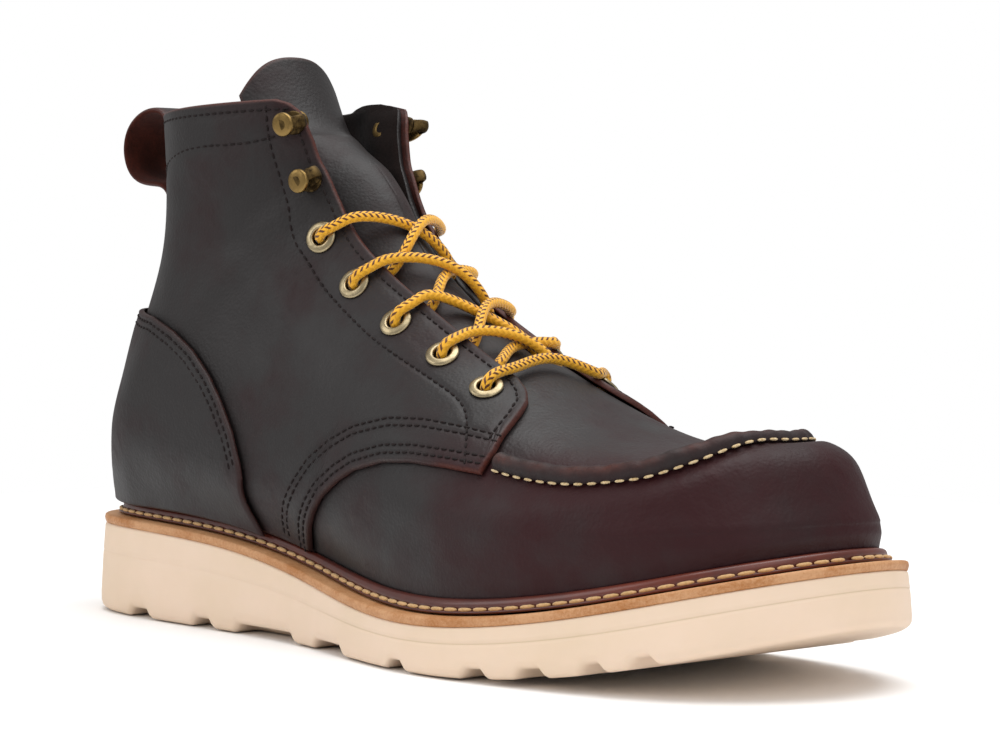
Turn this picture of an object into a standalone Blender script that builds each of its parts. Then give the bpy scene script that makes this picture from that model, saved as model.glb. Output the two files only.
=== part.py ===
"""A moc toe work boot for the right foot, six inches high, on a wedge sole.

The boot stands on z = 0 with its toe along +X and its outer side along -Y.  The leather is one smooth form:
sections run from the top line down to the feather line, and the upper, quarters, counter, tongue and seam are
offsets of it.
All tables are in millimetres, and MM turns them into metres.
"""

import functools
import math
from collections import namedtuple

import bmesh
import bpy
import numpy as np
from mathutils import Matrix, Vector

MM = 0.001
LATERAL, MEDIAL = -1, 1

# Driving sizes of the sole
SOLE_LENGTH = 302.0
BALL_WIDTH = 110.0
SOLE_FLARE = 1.2
SPRING_START, SPRING_END, TOE_SPRING = 45.0, 150.0, 17.3
MIDSOLE_THICK = 2.5
GAP = 0.3
SKIN_GAP = 0.7
COUNTER_GAP = 1.1
TONGUE_GAP = 1.0
FEATHER_INSET = 8.5
FEATHER_RISE = MIDSOLE_THICK + 3 * GAP
WELT_EDGE_INSET, WELT_LIP, WELT_BEAD, BEAD_WIDTH, BEAD_SHOULDER = 4.6, 0.8, 4.0, 2.2, 0.7
INSOLE_THICK, INSOLE_INSET = 3.0, 13.4
LUG_DEPTH, LUG_REACH, LUG_SINK = 2.8, 8.0, 0.35
TREAD_INSET, FLARE_HEIGHT, TOP_INSET, TOP_BEVEL, THINNEST = 0.2, 1.6, 0.4, 1.0, 4.0
MIDSOLE_INSET = 0.1

# Driving sizes of the leather
UPPER_WALL, QUARTER_WALL, COUNTER_WALL, TONGUE_WALL, STAY_WALL = 2.0, 1.8, 1.5, 1.8, 1.2
QUARTER_BASE = SKIN_GAP
COUNTER_BASE = QUARTER_BASE + QUARTER_WALL + COUNTER_GAP
TONGUE_BASE = -UPPER_WALL - TONGUE_GAP - TONGUE_WALL
SEAM_WIDTH, SEAM_HEIGHT, SEAM_CLEAR = 6.4, 3.5, 0.5
THROAT_STATION, TONGUE_START, TONGUE_TOP = 6.5, 6.05, 19.0
TONGUE_LEAN, LEAN_STATION, LEAN_POWER, LEAN_WAY = 30.0, 12.0, 1.6, (-0.97, 0.0, -0.24)
TONGUE_TUCK, TONGUE_TOP_HALF, TONGUE_TOP_ROUND, TONGUE_TOP_POWER = 8.0, 23.0, 0.55, 2.5
STAY_HALF, STAY_AHEAD, LOOP_HALF, LOOP_WALL = 7.0, -90.0, 11.0, 2.0

# Driving sizes of the fittings
LACE_WIDTH = 3.2
HOOK_WIDTH, HOOK_WALL = 7.0, 1.1

Outline = namedtuple("Outline", "along across")
SOLE_OUTLINE = [
    Outline(-0.4977, 0.000),
    Outline(-0.4702, -0.233),
    Outline(-0.3709, -0.327),
    Outline(-0.1987, -0.339),
    Outline(-0.0530, -0.385),
    Outline(0.1159, -0.500),
    Outline(0.2649, -0.471),
    Outline(0.3990, -0.371),
    Outline(0.4735, -0.188),
    Outline(0.5033, 0.055),
    Outline(0.4801, 0.309),
    Outline(0.3924, 0.445),
    Outline(0.2483, 0.498),
    Outline(0.0993, 0.418),
    Outline(-0.0662, 0.305),
    Outline(-0.2152, 0.309),
    Outline(-0.3709, 0.335),
    Outline(-0.4702, 0.231),
]

# Height of the wedge's top along the sole: a high heel, a thin ball and a toe that turns up
Wedge = namedtuple("Wedge", "x height")
WEDGE_TOP = [
    Wedge(-156, 28.4),
    Wedge(-100, 27.4),
    Wedge(-60, 24.6),
    Wedge(-5, 16.2),
    Wedge(50, 13.6),
    Wedge(100, 20.4),
    Wedge(156, 34.1),
]

# Cut-outs along the tread's edge, on both sides
Lug = namedtuple("Lug", "start end")
LUG_GAPS = [
    Lug(-115, -104),
    Lug(-81, -71),
    Lug(-59, -28),
    Lug(-15, 4),
    Lug(31, 39),
    Lug(62, 70),
    Lug(80, 89),
    Lug(100, 107),
    Lug(114, 121),
]

# Toe sections fan out from a pole on the apron.  girth is the share of the feather line from toe tip to heel,
# and lean moves the shoulder in towards the pole, so that the toe slopes back above its widest line.
TOE_POLE = (100.0, 5.0, 62.4)
POLE_SLOPE = -0.1
TOP_AHEAD = -0.6
Toe = namedtuple("Toe", "station girth bulge wide_z roof shoulder lean")
TOE_SECTIONS = [
    Toe(0, 0.000, 1.6, 46.0, 0.70, 2.20, 0.42),
    Toe(1, 0.055, 1.7, 45.5, 0.70, 2.15, 0.42),
    Toe(2, 0.110, 1.8, 44.5, 0.70, 1.85, 0.38),
    Toe(3, 0.165, 1.9, 43.0, 0.68, 1.40, 0.27),
    Toe(4, 0.210, 2.0, 42.0, 0.66, 1.04, 0.14),
]

# Body sections run from a point on the top line, through the widest point, to the feather or the back line
BODY_COLUMNS = "station girth top_x top_y top_z wide_x lateral medial wide_z roof shoulder lift across"
Body = namedtuple("Body", BODY_COLUMNS)
BODY_SECTIONS = [
    Body(5, 0.28, 75.0, 3.0, 67.0, 75.0, 46.5, 48.0, 40.0, 0.60, 0.62, 8.0, 0.0),
    Body(6, 0.36, 48.0, 1.0, 78.5, 48.5, 48.5, 45.0, 39.0, 0.56, 0.48, 8.0, 0.0),
    Body(7, 0.45, 24.0, 0.0, 91.5, 18.0, 46.0, 38.5, 41.0, 0.56, 0.46, 8.0, 0.0),
    Body(8, 0.55, 6.0, 0.0, 103.5, -14.0, 40.5, 33.5, 45.0, 0.58, 0.48, 9.0, 0.0),
    Body(9, 0.65, -7.0, 0.0, 113.5, -47.0, 36.5, 32.5, 50.0, 0.60, 0.50, 10.0, 0.0),
    Body(10, 0.77, -15.5, 0.0, 122.0, -84.0, 34.8, 33.5, 56.0, 0.60, 0.52, 11.0, 0.0),
    Body(11, 0.852, -20.5, 0.0, 128.0, -103.8, 34.5, 34.0, 60.0, 0.60, 0.54, 12.7, 0.5),
    Body(12, 0.894, -24.5, 0.0, 134.0, -110.7, 34.1, 33.9, 65.2, 0.60, 0.54, 7.2, -0.5),
    Body(13, 1.00, -28.0, 0.0, 140.0, -108.4, 33.4, 33.3, 77.2, 0.60, 0.54, 18.0, 17.4),
    Body(14, 1.00, -31.0, 0.0, 146.0, -102.0, 32.1, 32.1, 91.0, 0.60, 0.54, 6.2, 13.4),
    Body(15, 1.00, -33.5, 0.0, 150.5, -95.5, 30.9, 30.9, 106.0, 0.60, 0.54, 0.0, 19.0),
    Body(16, 1.00, -35.8, 0.0, 155.0, -89.5, 30.6, 30.6, 122.0, 0.60, 0.54, 0.0, 18.0),
    Body(17, 1.00, -37.8, 0.0, 159.5, -86.5, 31.4, 31.4, 141.0, 0.60, 0.54, 0.0, 17.0),
    Body(18, 1.00, -39.5, 0.0, 164.5, -84.5, 32.6, 32.6, 162.5, 0.60, 0.54, 0.0, 18.0),
    Body(19, 1.00, -44.5, 0.0, 187.0, -86.5, 33.6, 33.6, 184.0, 0.60, 0.54, 0.0, 18.0),
]
FLANK = 0.5
LIFT_LEAN = 0.12

# The back line above the heel's feather point
HEEL_STATION = 13
Back = namedtuple("Back", "station x z")
BACK_LINE = [
    Back(14, -146.5, 57.0),
    Back(15, -136.5, 84.0),
    Back(16, -126.3, 108.0),
    Back(17, -122.3, 131.0),
    Back(18, -124.3, 160.5),
    Back(19, -128.0, 182.0),
]

# Half the width of the throat between the eyestays.  The first rows round the quarter's lower front corner,
# and the last ones its corner at the collar.
Throat = namedtuple("Throat", "station half")
THROAT = [
    Throat(5.68, 38.0),
    Throat(5.74, 33.0),
    Throat(5.80, 25.5),
    Throat(5.90, 19.5),
    Throat(6.05, 16.2),
    Throat(6.25, 14.4),
    Throat(8.0, 14.5),
    Throat(12.5, 15.2),
    Throat(14.7, 16.5),
    Throat(16.3, 18.1),
    Throat(17.4, 19.9),
    Throat(17.7, 21.0),
    Throat(17.9, 22.8),
    Throat(18.0, 25.2),
    Throat(19.0, 27.0),
]

# Lower edge of the quarter and upper edge of the heel counter, seen from the side
Line = namedtuple("Line", "x z")
QUARTER_EDGE = [
    Line(-32, 8.0),
    Line(-26, 29.8),
    Line(-23, 34.0),
    Line(-18, 39.8),
    Line(-13, 44.8),
    Line(-5, 49.8),
    Line(3, 53.4),
    Line(16, 56.4),
    Line(28, 57.0),
    Line(43, 56.2),
    Line(60, 54.8),
]
COUNTER_EDGE = [
    Line(-150, 97.0),
    Line(-118, 97.0),
    Line(-104, 95.5),
    Line(-92, 91.5),
    Line(-82, 85.5),
    Line(-73, 78.0),
    Line(-66, 70.5),
    Line(-59, 61.5),
    Line(-54, 52.0),
    Line(-51, 42.0),
    Line(-48, 10.0),
]

# The raised seam round the apron, as a share of the section.  Lateral stations are negative here.
Seam = namedtuple("Seam", "station share")
MOC_SEAM = [
    Seam(-5.62, 0.300),
    Seam(-5.0, 0.305),
    Seam(-4.4, 0.318),
    Seam(-4.0, 0.322),
    Seam(-3.4, 0.332),
    Seam(-2.8, 0.328),
    Seam(-2.2, 0.308),
    Seam(-1.5, 0.268),
    Seam(-0.7, 0.230),
    Seam(0.0, 0.212),
    Seam(0.7, 0.205),
    Seam(1.5, 0.197),
    Seam(2.2, 0.198),
    Seam(2.8, 0.208),
    Seam(3.4, 0.222),
    Seam(4.0, 0.240),
    Seam(4.4, 0.255),
    Seam(5.0, 0.280),
    Seam(5.62, 0.300),
]
SEAM_ROWS = 19
SEAM_ANGLES = (180, 140, 90, 40, 0)

# Eyelets from the top row down, then hooks, as places on the quarter
Fitting = namedtuple("Fitting", "station share")
EYELETS = [
    Fitting(11.5, 0.185),
    Fitting(9.4, 0.187),
    Fitting(8.17, 0.182),
    Fitting(7.17, 0.165),
    Fitting(6.37, 0.165),
]
HOOKS = [Fitting(17.3, 0.235), Fitting(14.5, 0.200)]

# Middle line of a hook's bent band: forward is towards the throat, and height is above the quarter
Bend = namedtuple("Bend", "forward height")
HOOK_BEND = [
    Bend(-4.5, 0.0),
    Bend(-1.0, 0.0),
    Bend(2.2, 0.1),
    Bend(4.3, 1.6),
    Bend(4.0, 3.8),
    Bend(1.5, 5.2),
    Bend(-1.8, 5.4),
    Bend(-4.6, 4.4),
]

# Section of an eyelet's rim, turned about its own axis
Rim = namedtuple("Rim", "radius height")
EYELET_RIM = [Rim(3.1, 0.9), Rim(4.6, 0.9), Rim(5.1, 0.0), Rim(2.6, 0.0)]
EYELET_STEPS = 10
HOOK_STEPS = 11
SEAT_STEP = 0.05

# Middle line of the pull loop's strap behind the back seam
LOOP_LINE = [
    Line(-130.3, 152.0),
    Line(-131.0, 159.0),
    Line(-135.0, 163.0),
    Line(-143.0, 163.0),
    Line(-151.0, 158.5),
    Line(-154.0, 151.0),
    Line(-151.0, 143.5),
    Line(-143.5, 139.8),
    Line(-134.5, 138.8),
    Line(-129.6, 135.5),
    Line(-128.9, 130.0),
]

# How far the lace's middle lies from the form: under the eyestay, over the tongue, at the edge, at the eyelet
LACE_UNDER, LACE_MIDDLE, LACE_OVER, LACE_AT_EYELET = -0.4, 1.4, 5.0, 6.3
LACE_INSIDE, LACE_AHEAD = 2.2, 0.2

# Section rows of the meshes.  All skins share the rows behind the throat, so that their facets lie parallel.
TOE_STATIONS = [0, 0.6, 1.2, 1.8, 2.4, 3, 3.5, 4, 4.5, 5, 5.5, 6]
CORNER_STATIONS = [5.7, 5.75, 5.82, 5.95, 6.15]
FOOT_STATIONS = [6.5, 7, 7.5, 8, 8.25, 8.5, 8.75, 9, 9.25, 9.6]
HEEL_STATIONS = [10, 10.6, 11.2, 11.7, 12.1, 12.5, 12.8, 13, 13.4, 14, 14.6, 15.2, 15.4]
SHAFT_STATIONS = [15.5, 16, 16.7, 17.4, 18]
UPPER_STATIONS = TOE_STATIONS + FOOT_STATIONS + HEEL_STATIONS + SHAFT_STATIONS
QUARTER_STATIONS = CORNER_STATIONS + FOOT_STATIONS + HEEL_STATIONS + SHAFT_STATIONS
COUNTER_STATIONS = [9.13, 9.25, 9.6] + HEEL_STATIONS + [15.5]
STAY_STATIONS = [15.75, 16, 16.7, 17.4, 17.95]
ROOF_SHARES = np.linspace(0, 1, 4)
STAY_SHARES = np.linspace(0, 1, 4)
TONGUE_ROWS = np.linspace(0, 1, 15)
TONGUE_HALVES = np.linspace(0, 1, 5)
WALL_SHARES = np.array([0, 0.09, 0.19, 0.29, 0.40, 0.52, 0.65, 0.78, 0.90, 1])

# How finely curves are read, and how near points are joined
OUTLINE_POINTS, OUTLINE_WRAP, SHARE_POINTS, BACK_POINTS = 720, 4, 241, 41
PLATE_COUNT, OUTSOLE_COUNT = 30, 32
TANGENT_STEP, NORMAL_STEP, FAR = 0.004, 0.01, 1000.0
WELD, SLIVER = 2e-5, 1e-6


def natural_spline(knots, values, at):
    """The natural cubic spline through values at knots, read at the given places, a column for each value."""
    knots = np.asarray(knots, float)
    values = np.asarray(values, float).reshape(len(knots), -1)
    step = np.diff(knots)
    count = len(knots)
    system = np.eye(count)
    right = np.zeros_like(values)
    for i in range(1, count - 1):
        system[i, i - 1 : i + 2] = step[i - 1], 2 * (step[i - 1] + step[i]), step[i]
        right[i] = 6 * ((values[i + 1] - values[i]) / step[i] - (values[i] - values[i - 1]) / step[i - 1])
    bend = np.linalg.solve(system, right)
    at = np.clip(np.asarray(at, float).ravel(), knots[0], knots[-1])
    k = np.clip(np.searchsorted(knots, at, side="right") - 1, 0, count - 2)
    before = (knots[k + 1] - at)[:, None]
    after = (at - knots[k])[:, None]
    width = step[k][:, None]
    cubic = (bend[k] * before**3 + bend[k + 1] * after**3) / (6 * width)
    start = (values[k] / width - bend[k] * width / 6) * before
    end = (values[k + 1] / width - bend[k + 1] * width / 6) * after
    return cubic + start + end


def monotone_spline(knots, values, at):
    """A cubic through values at knots that never overshoots them."""
    knots = np.asarray(knots, float)
    values = np.asarray(values, float)
    step = np.diff(knots)
    slope = np.diff(values) / step
    tangent = np.zeros_like(values)
    tangent[0], tangent[-1] = slope[0], slope[-1]
    for i in range(1, len(knots) - 1):
        if slope[i - 1] * slope[i] > 0:
            near = 2 * step[i] + step[i - 1]
            far = step[i] + 2 * step[i - 1]
            tangent[i] = (near + far) / (near / slope[i - 1] + far / slope[i])
    at = np.clip(np.asarray(at, float).ravel(), knots[0], knots[-1])
    k = np.clip(np.searchsorted(knots, at, side="right") - 1, 0, len(knots) - 2)
    t = (at - knots[k]) / step[k]
    start = (2 * t**3 - 3 * t**2 + 1) * values[k] + (t**3 - 2 * t**2 + t) * step[k] * tangent[k]
    return start + (3 * t**2 - 2 * t**3) * values[k + 1] + (t**3 - t**2) * step[k] * tangent[k + 1]


def column(rows, name):
    return np.array([getattr(row, name) for row in rows], float)


def wedge_top(x):
    return natural_spline(column(WEDGE_TOP, "x"), column(WEDGE_TOP, "height"), x).reshape(np.shape(x))


def tread(x):
    """Height of the tread above the floor: flat from the heel to the ball, then turning up to the toe."""
    share = np.clip((np.asarray(x, float) - SPRING_START) / (SPRING_END - SPRING_START), 0, None)
    return TOE_SPRING * share**2


def sole_curve(inset, count=OUTLINE_POINTS):
    """Points round the sole's outline, moved inwards by inset, from the heel by the outer side to the toe."""
    size = np.array([SOLE_LENGTH, BALL_WIDTH])
    corners = np.column_stack([column(SOLE_OUTLINE, "along"), column(SOLE_OUTLINE, "across")]) * size
    ring = np.vstack([corners[-OUTLINE_WRAP:], corners, corners[: OUTLINE_WRAP + 1]])
    turns = np.arange(len(ring)) - OUTLINE_WRAP
    curve = natural_spline(turns, ring, np.linspace(0, len(corners), count, endpoint=False))
    run = np.roll(curve, -1, axis=0) - np.roll(curve, 1, axis=0)
    inwards = np.column_stack([-run[:, 1], run[:, 0]])
    return curve + inset * inwards / np.linalg.norm(inwards, axis=1)[:, None]


@functools.cache
def feather_path(side):
    """The feather line on one side, from the toe's tip to the heel's back."""
    curve = sole_curve(FEATHER_INSET)
    ahead = curve[:, 0] > 0
    tip = np.argmin(np.abs(curve[:, 1] - TOE_POLE[1]) + FAR * ~ahead)
    heel = np.argmin(np.abs(curve[:, 1]) + FAR * ahead)
    curve = np.roll(curve, -tip, axis=0)
    heel = (heel - tip) % len(curve)
    if side == MEDIAL:
        path = curve[: heel + 1].copy()
    else:
        path = np.vstack([curve[heel:], curve[:1]])[::-1].copy()
    path[0, 1] = TOE_POLE[1]
    path[-1, 1] = 0.0
    return path


def along_path(path, share):
    """Points at shares of a flat path's length, and the direction of the path there."""
    reach = np.append(0.0, np.cumsum(np.linalg.norm(np.diff(path, axis=0), axis=1)))
    goal = np.asarray(share) * reach[-1]
    step = TANGENT_STEP * reach[-1]

    def read(at):
        return np.column_stack([np.interp(at, reach, path[:, k]) for k in range(2)])

    run = read(goal + step) - read(goal - step)
    run /= np.linalg.norm(run, axis=1)[:, None]
    return read(goal), run


def outwards_of(run, side, share):
    """The flat outward direction beside a path, straight ahead at the toe's tip."""
    out = np.column_stack([run[:, 1], -run[:, 0]]) * side
    out[np.asarray(share) == 0] = (1.0, 0.0)
    return out


def top_line(station):
    """The top line: it stays at the pole through the toe, then runs up the instep to the tongue's top."""
    ahead = (2 * TOE_POLE[0] - BODY_SECTIONS[0].top_x, TOE_POLE[1], TOE_POLE[2] + TOP_AHEAD)
    points = [ahead, TOE_POLE] + [(row.top_x, row.top_y, row.top_z) for row in BODY_SECTIONS]
    pole_station = TOE_SECTIONS[-1].station
    knots = np.append([pole_station - 1, pole_station], column(BODY_SECTIONS, "station"))
    return natural_spline(knots, points, np.maximum(station, pole_station))


def widest_points(side):
    """The widest point of each section: outside the feather line in the toe, and from the table behind it."""
    girth = column(TOE_SECTIONS, "girth")
    point, run = along_path(feather_path(side), girth)
    outwards = outwards_of(run, side, girth)
    bulge = column(TOE_SECTIONS, "bulge")[:, None]
    toe = np.column_stack([point + outwards * bulge, column(TOE_SECTIONS, "wide_z")])
    across = column(BODY_SECTIONS, "medial" if side == MEDIAL else "lateral") * side
    body = np.column_stack([column(BODY_SECTIONS, "wide_x"), across, column(BODY_SECTIONS, "wide_z")])
    return np.vstack([toe, body])


def section_ends(side, station):
    """Where each section ends: on the feather line as far as the heel, and on the back line above it."""
    rows = TOE_SECTIONS + BODY_SECTIONS
    path = feather_path(side)
    girth = monotone_spline(column(rows, "station"), column(rows, "girth"), station)
    point, run = along_path(path, girth)
    outwards = outwards_of(run, side, girth)
    end = np.column_stack([point, wedge_top(point[:, 0]) + FEATHER_RISE])
    heel_z = float(wedge_top(path[-1, 0])) + FEATHER_RISE
    stations = np.append([HEEL_STATION - 1, HEEL_STATION], column(BACK_LINE, "station"))
    line_z = np.append(heel_z, column(BACK_LINE, "z"))
    line_x = np.append(path[-1, 0], column(BACK_LINE, "x"))
    back_z = monotone_spline(stations, np.append(heel_z, line_z), station)
    back_x = natural_spline(line_z, line_x, back_z)
    above = station > HEEL_STATION
    end[above] = np.column_stack([back_x, np.zeros(len(back_z)), back_z])[above]
    outwards[above] = (-1.0, 0.0)
    return end, outwards


@functools.cache
def control_rows(side):
    """Six Bezier points for each table row: top line, roof, shoulder, widest point, flank and lift."""
    rows = TOE_SECTIONS + BODY_SECTIONS
    station = column(rows, "station")
    before = len(TOE_SECTIONS)
    top = top_line(station)
    wide = widest_points(side)
    end, outwards = section_ends(side, station)
    behind_toe = np.clip(station - TOE_SECTIONS[-1].station, 0, 1)
    up = top - end
    up[:, 1] = 0.0
    up[:, 0] *= behind_toe
    up /= np.linalg.norm(up, axis=1)[:, None]
    spread = wide - top
    spread[:, 0] *= 1 - behind_toe
    spread[:, 2] = POLE_SLOPE * spread[:, 0]
    rise = ((top - wide) * up).sum(axis=1)[:, None]
    drop = ((wide - end) * up).sum(axis=1)[:, None]
    roof = top + column(rows, "roof")[:, None] * spread
    shoulder = wide + column(rows, "shoulder")[:, None] * rise * up
    shoulder[:before, :2] -= column(TOE_SECTIONS, "lean")[:, None] * (wide - top)[:before, :2]
    lift = np.append(np.full(before, BODY_SECTIONS[0].lift), column(BODY_SECTIONS, "lift"))[:, None]
    lifted = end + lift * np.column_stack([outwards * LIFT_LEAN, np.ones(len(station))])
    lifted[before:, 1] += column(BODY_SECTIONS, "across") * side
    return np.stack([top, roof, shoulder, wide, wide - FLANK * drop * up, lifted], 1)


def section_controls(side, station):
    """Seven Bezier points for each section, on smooth curves through the rows that run on round the toe."""
    rows = column(TOE_SECTIONS + BODY_SECTIONS, "station")
    beyond = slice(len(TOE_SECTIONS) - 1, 0, -1)
    knots = np.concatenate([-rows[beyond], rows])
    points = np.concatenate([control_rows(-side)[beyond], control_rows(side)])
    controls = natural_spline(knots, points, station).reshape(-1, 6, 3)
    controls[:, 0] = top_line(station)
    end = section_ends(side, station)[0]
    return np.concatenate([controls, end[:, None]], axis=1)


def bezier(points, t):
    """Points of cubic Bezier curves, one for each row of four control points."""
    t = t[:, None]
    start = (1 - t) ** 3 * points[:, 0] + 3 * (1 - t) ** 2 * t * points[:, 1]
    return start + 3 * (1 - t) * t**2 * points[:, 2] + t**3 * points[:, 3]


def form(side, station, share):
    """Points of the outer form: share 0 is the top line, 0.5 the widest line, 1 the section's end."""
    station, share = np.broadcast_arrays(np.asarray(station, float), np.asarray(share, float))
    controls = section_controls(side, station.ravel())
    t = share.ravel()
    upper = bezier(controls[:, :4], np.clip(2 * t, 0, 1))
    lower = bezier(controls[:, 3:], np.clip(2 * t - 1, 0, 1))
    return np.where((t <= 0.5)[:, None], upper, lower).reshape(station.shape + (3,))


def form_normal(side, station, share):
    """Outward unit normals of the form, from differences along the two parameters."""
    step = NORMAL_STEP
    t = np.maximum(share, 3 * step)
    ahead, behind = np.maximum(station - step, 0), np.minimum(station + step, TONGUE_TOP)
    along = form(side, behind, t) - form(side, ahead, t)
    down = form(side, station, np.minimum(t + step, 1)) - form(side, station, t - step)
    normal = np.cross(down, along) * side
    normal /= np.linalg.norm(normal, axis=-1)[..., None]
    at_pole = (share == 0) & (station <= TOE_SECTIONS[-1].station)
    return np.where(at_pole[..., None], np.array([-POLE_SLOPE, 0, 1]), normal)


def skin(side, station, share, offset):
    """The form moved outwards by offset.  Both sides share their normals in the middle, so that they meet."""
    station, share = np.broadcast_arrays(np.asarray(station, float), np.asarray(share, float))
    normal = form_normal(side, station, share)
    shared = normal + form_normal(-side, station, share)
    shared /= np.linalg.norm(shared, axis=-1)[..., None]
    middle = (station == 0) | (share == 0) | ((share == 1) & (station >= HEEL_STATION))
    normal = np.where(middle[..., None], shared, normal)
    return form(side, station, share) + np.asarray(offset)[..., None] * normal


def first_share(side, station, measure):
    """The first share of each section where measure turns positive, and 1 where it never does."""
    shares = np.linspace(0, 1, SHARE_POINTS)
    station = np.asarray(station, float)
    value = measure(form(side, station[:, None], shares[None, :]), station[:, None])
    found = value > 0
    k = np.maximum(found.argmax(axis=1), 1)
    rows = np.arange(len(station))
    before, after = value[rows, k - 1], value[rows, k]
    part = np.clip(-before / (after - before), 0, 1)
    share = shares[k - 1] + part * (shares[k] - shares[k - 1])
    return np.where(found.any(axis=1), share, 1.0)


def throat_edge(side, station, wider=0.0):
    """Share where the eyestay's front edge lies."""
    def past_edge(points, at):
        half = np.interp(at, column(THROAT, "station"), column(THROAT, "half")) + wider
        return np.abs(points[..., 1]) - half
    return first_share(side, station, past_edge)


def below_line(line):
    def measure(points, at):
        return np.interp(points[..., 0], column(line, "x"), column(line, "z")) - points[..., 2]
    return measure


def bead_edge(side, station):
    """Share where a panel meets the welt's bead."""
    def measure(points, at):
        return wedge_top(points[..., 0]) + FEATHER_RISE + WELT_BEAD + 2 * GAP - points[..., 2]
    return first_share(side, station, measure)


def grid_faces(rows, columns, flip):
    """Triangles of a grid of points, all cut along the same diagonal, turned over where flip is set."""
    index = np.arange(rows * columns).reshape(rows, columns)
    a, b, c, d = index[:-1, :-1], index[1:, :-1], index[1:, 1:], index[:-1, 1:]
    faces = np.concatenate([np.stack(corners, -1).reshape(-1, 3) for corners in ((a, b, c), (a, c, d))])
    return faces[:, ::-1] if flip else faces


def face_outwards(mesh):
    """Close any open ends and turn all faces outwards."""
    model = bmesh.new()
    model.from_mesh(mesh)
    bmesh.ops.holes_fill(model, edges=[edge for edge in model.edges if edge.is_boundary], sides=0)
    bmesh.ops.recalc_face_normals(model, faces=model.faces)
    model.to_mesh(mesh)
    model.free()


def finish(name, colour, roughness, metallic=0.0):
    """A plain material of one colour."""
    material = bpy.data.materials.new(name)
    material.use_nodes = True
    shader = material.node_tree.nodes["Principled BSDF"]
    shader.inputs["Base Color"].default_value = (*colour, 1.0)
    shader.inputs["Roughness"].default_value = roughness
    shader.inputs["Metallic"].default_value = metallic
    return material


def add_object(name, mesh, material, matrix=None):
    obj = bpy.data.objects.new(name, mesh)
    if not mesh.materials:
        mesh.materials.append(material)
    if matrix is not None:
        obj.matrix_world = matrix
    BOOT.objects.link(obj)
    return obj


def welded_mesh(name, grids):
    """One mesh from grids of points in millimetres, each with its flip, joined where their edges meet."""
    mesh = bpy.data.meshes.new(name)
    points, faces, base = [], [], 0
    for grid, flip in grids:
        rows, columns = grid.shape[:2]
        faces.extend((grid_faces(rows, columns, flip) + base).tolist())
        points.append(grid.reshape(-1, 3) * MM)
        base += rows * columns
    mesh.from_pydata(np.vstack(points).tolist(), [], faces)
    model = bmesh.new()
    model.from_mesh(mesh)
    bmesh.ops.remove_doubles(model, verts=model.verts, dist=WELD)
    bmesh.ops.dissolve_degenerate(model, dist=SLIVER, edges=model.edges)
    model.to_mesh(mesh)
    model.free()
    mesh.shade_smooth()
    return mesh


def shell(name, grids, wall, material):
    """An open skin thickened outwards by wall."""
    obj = add_object(name, welded_mesh(name, grids), material)
    solidify = obj.modifiers.new("wall", "SOLIDIFY")
    solidify.thickness = wall * MM
    solidify.offset = 1.0
    solidify.use_quality_normals = True
    return obj


def panel(side, stations, start, end, shares, offset):
    """Grid of a panel whose sections run between two shares, with its flip for that side."""
    stations = np.asarray(stations, float)
    share = start[:, None] + (end - start)[:, None] * shares
    return skin(side, stations[:, None], share, np.full(share.shape, offset)), side == MEDIAL


def upper_edges(stations):
    """Share of the throat's edge for each side.  The two agree at the toe, where their grids meet."""
    at = np.maximum(stations, THROAT_STATION)
    edges = {side: throat_edge(side, at, wider=GAP) for side in (LATERAL, MEDIAL)}
    mean = (edges[LATERAL] + edges[MEDIAL]) / 2
    blend = np.clip(stations / THROAT_STATION, 0, 1)
    return {side: mean + (edge - mean) * blend for side, edge in edges.items()}


def build_upper(material):
    """The vamp and lining in one wall, open at the collar, the throat and underneath."""
    stations = np.array(UPPER_STATIONS)
    in_front = stations <= THROAT_STATION
    grids = []
    for side, edge in upper_edges(stations).items():
        roof_edge = edge[in_front]
        grids.append(panel(side, stations, edge, np.ones(len(stations)), WALL_SHARES, -UPPER_WALL))
        grids.append(panel(side, stations[in_front], 0 * roof_edge, roof_edge, ROOF_SHARES, -UPPER_WALL))
    return shell("upper", grids, UPPER_WALL, material)


def quarter_shares(side, stations):
    """Shares of the quarter's grid: the upper's own, held between the throat's edge and the lower edge."""
    edge = upper_edges(stations)[side]
    share = edge[:, None] + (1 - edge)[:, None] * WALL_SHARES
    end = np.minimum(first_share(side, stations, below_line(QUARTER_EDGE)), bead_edge(side, stations))
    return np.clip(share, throat_edge(side, stations)[:, None], end[:, None])


def build_quarter(side, name, material):
    """One side's quarter with its eyestay, from the throat back to the middle of the heel."""
    stations = np.array(QUARTER_STATIONS)
    share = quarter_shares(side, stations)
    grid = skin(side, stations[:, None], share, np.full(share.shape, QUARTER_BASE))
    at_back = (share[:, -1] == 1) & (stations >= HEEL_STATION)
    grid[at_back, -1, 1] = side * GAP / 2
    return shell(name, [(grid, side == MEDIAL)], QUARTER_WALL, material)


def build_counter(material):
    """The heel counter, one piece round the back, on the quarter's own grid below its top edge."""
    stations = np.array(COUNTER_STATIONS)
    grids = []
    for side in (LATERAL, MEDIAL):
        top = first_share(side, stations, below_line(COUNTER_EDGE))
        share = np.maximum(quarter_shares(side, stations), np.minimum(top, 1)[:, None])
        grid = skin(side, stations[:, None], share, np.full(share.shape, COUNTER_BASE))
        grids.append((grid, side == MEDIAL))
    return shell("heel_counter", grids, COUNTER_WALL, material)


def build_backstay(material):
    """The strip over the back seam, from the counter to the collar."""
    stations = np.array(STAY_STATIONS)
    grids = []
    for side in (LATERAL, MEDIAL):
        start = first_share(side, stations, inside_stay)
        grids.append(panel(side, stations, start, np.ones(len(stations)), STAY_SHARES, COUNTER_BASE))
    return shell("backstay", grids, STAY_WALL, material)


def inside_stay(points, at):
    return np.where(points[..., 0] < STAY_AHEAD, STAY_HALF - np.abs(points[..., 1]), -1.0)


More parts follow.
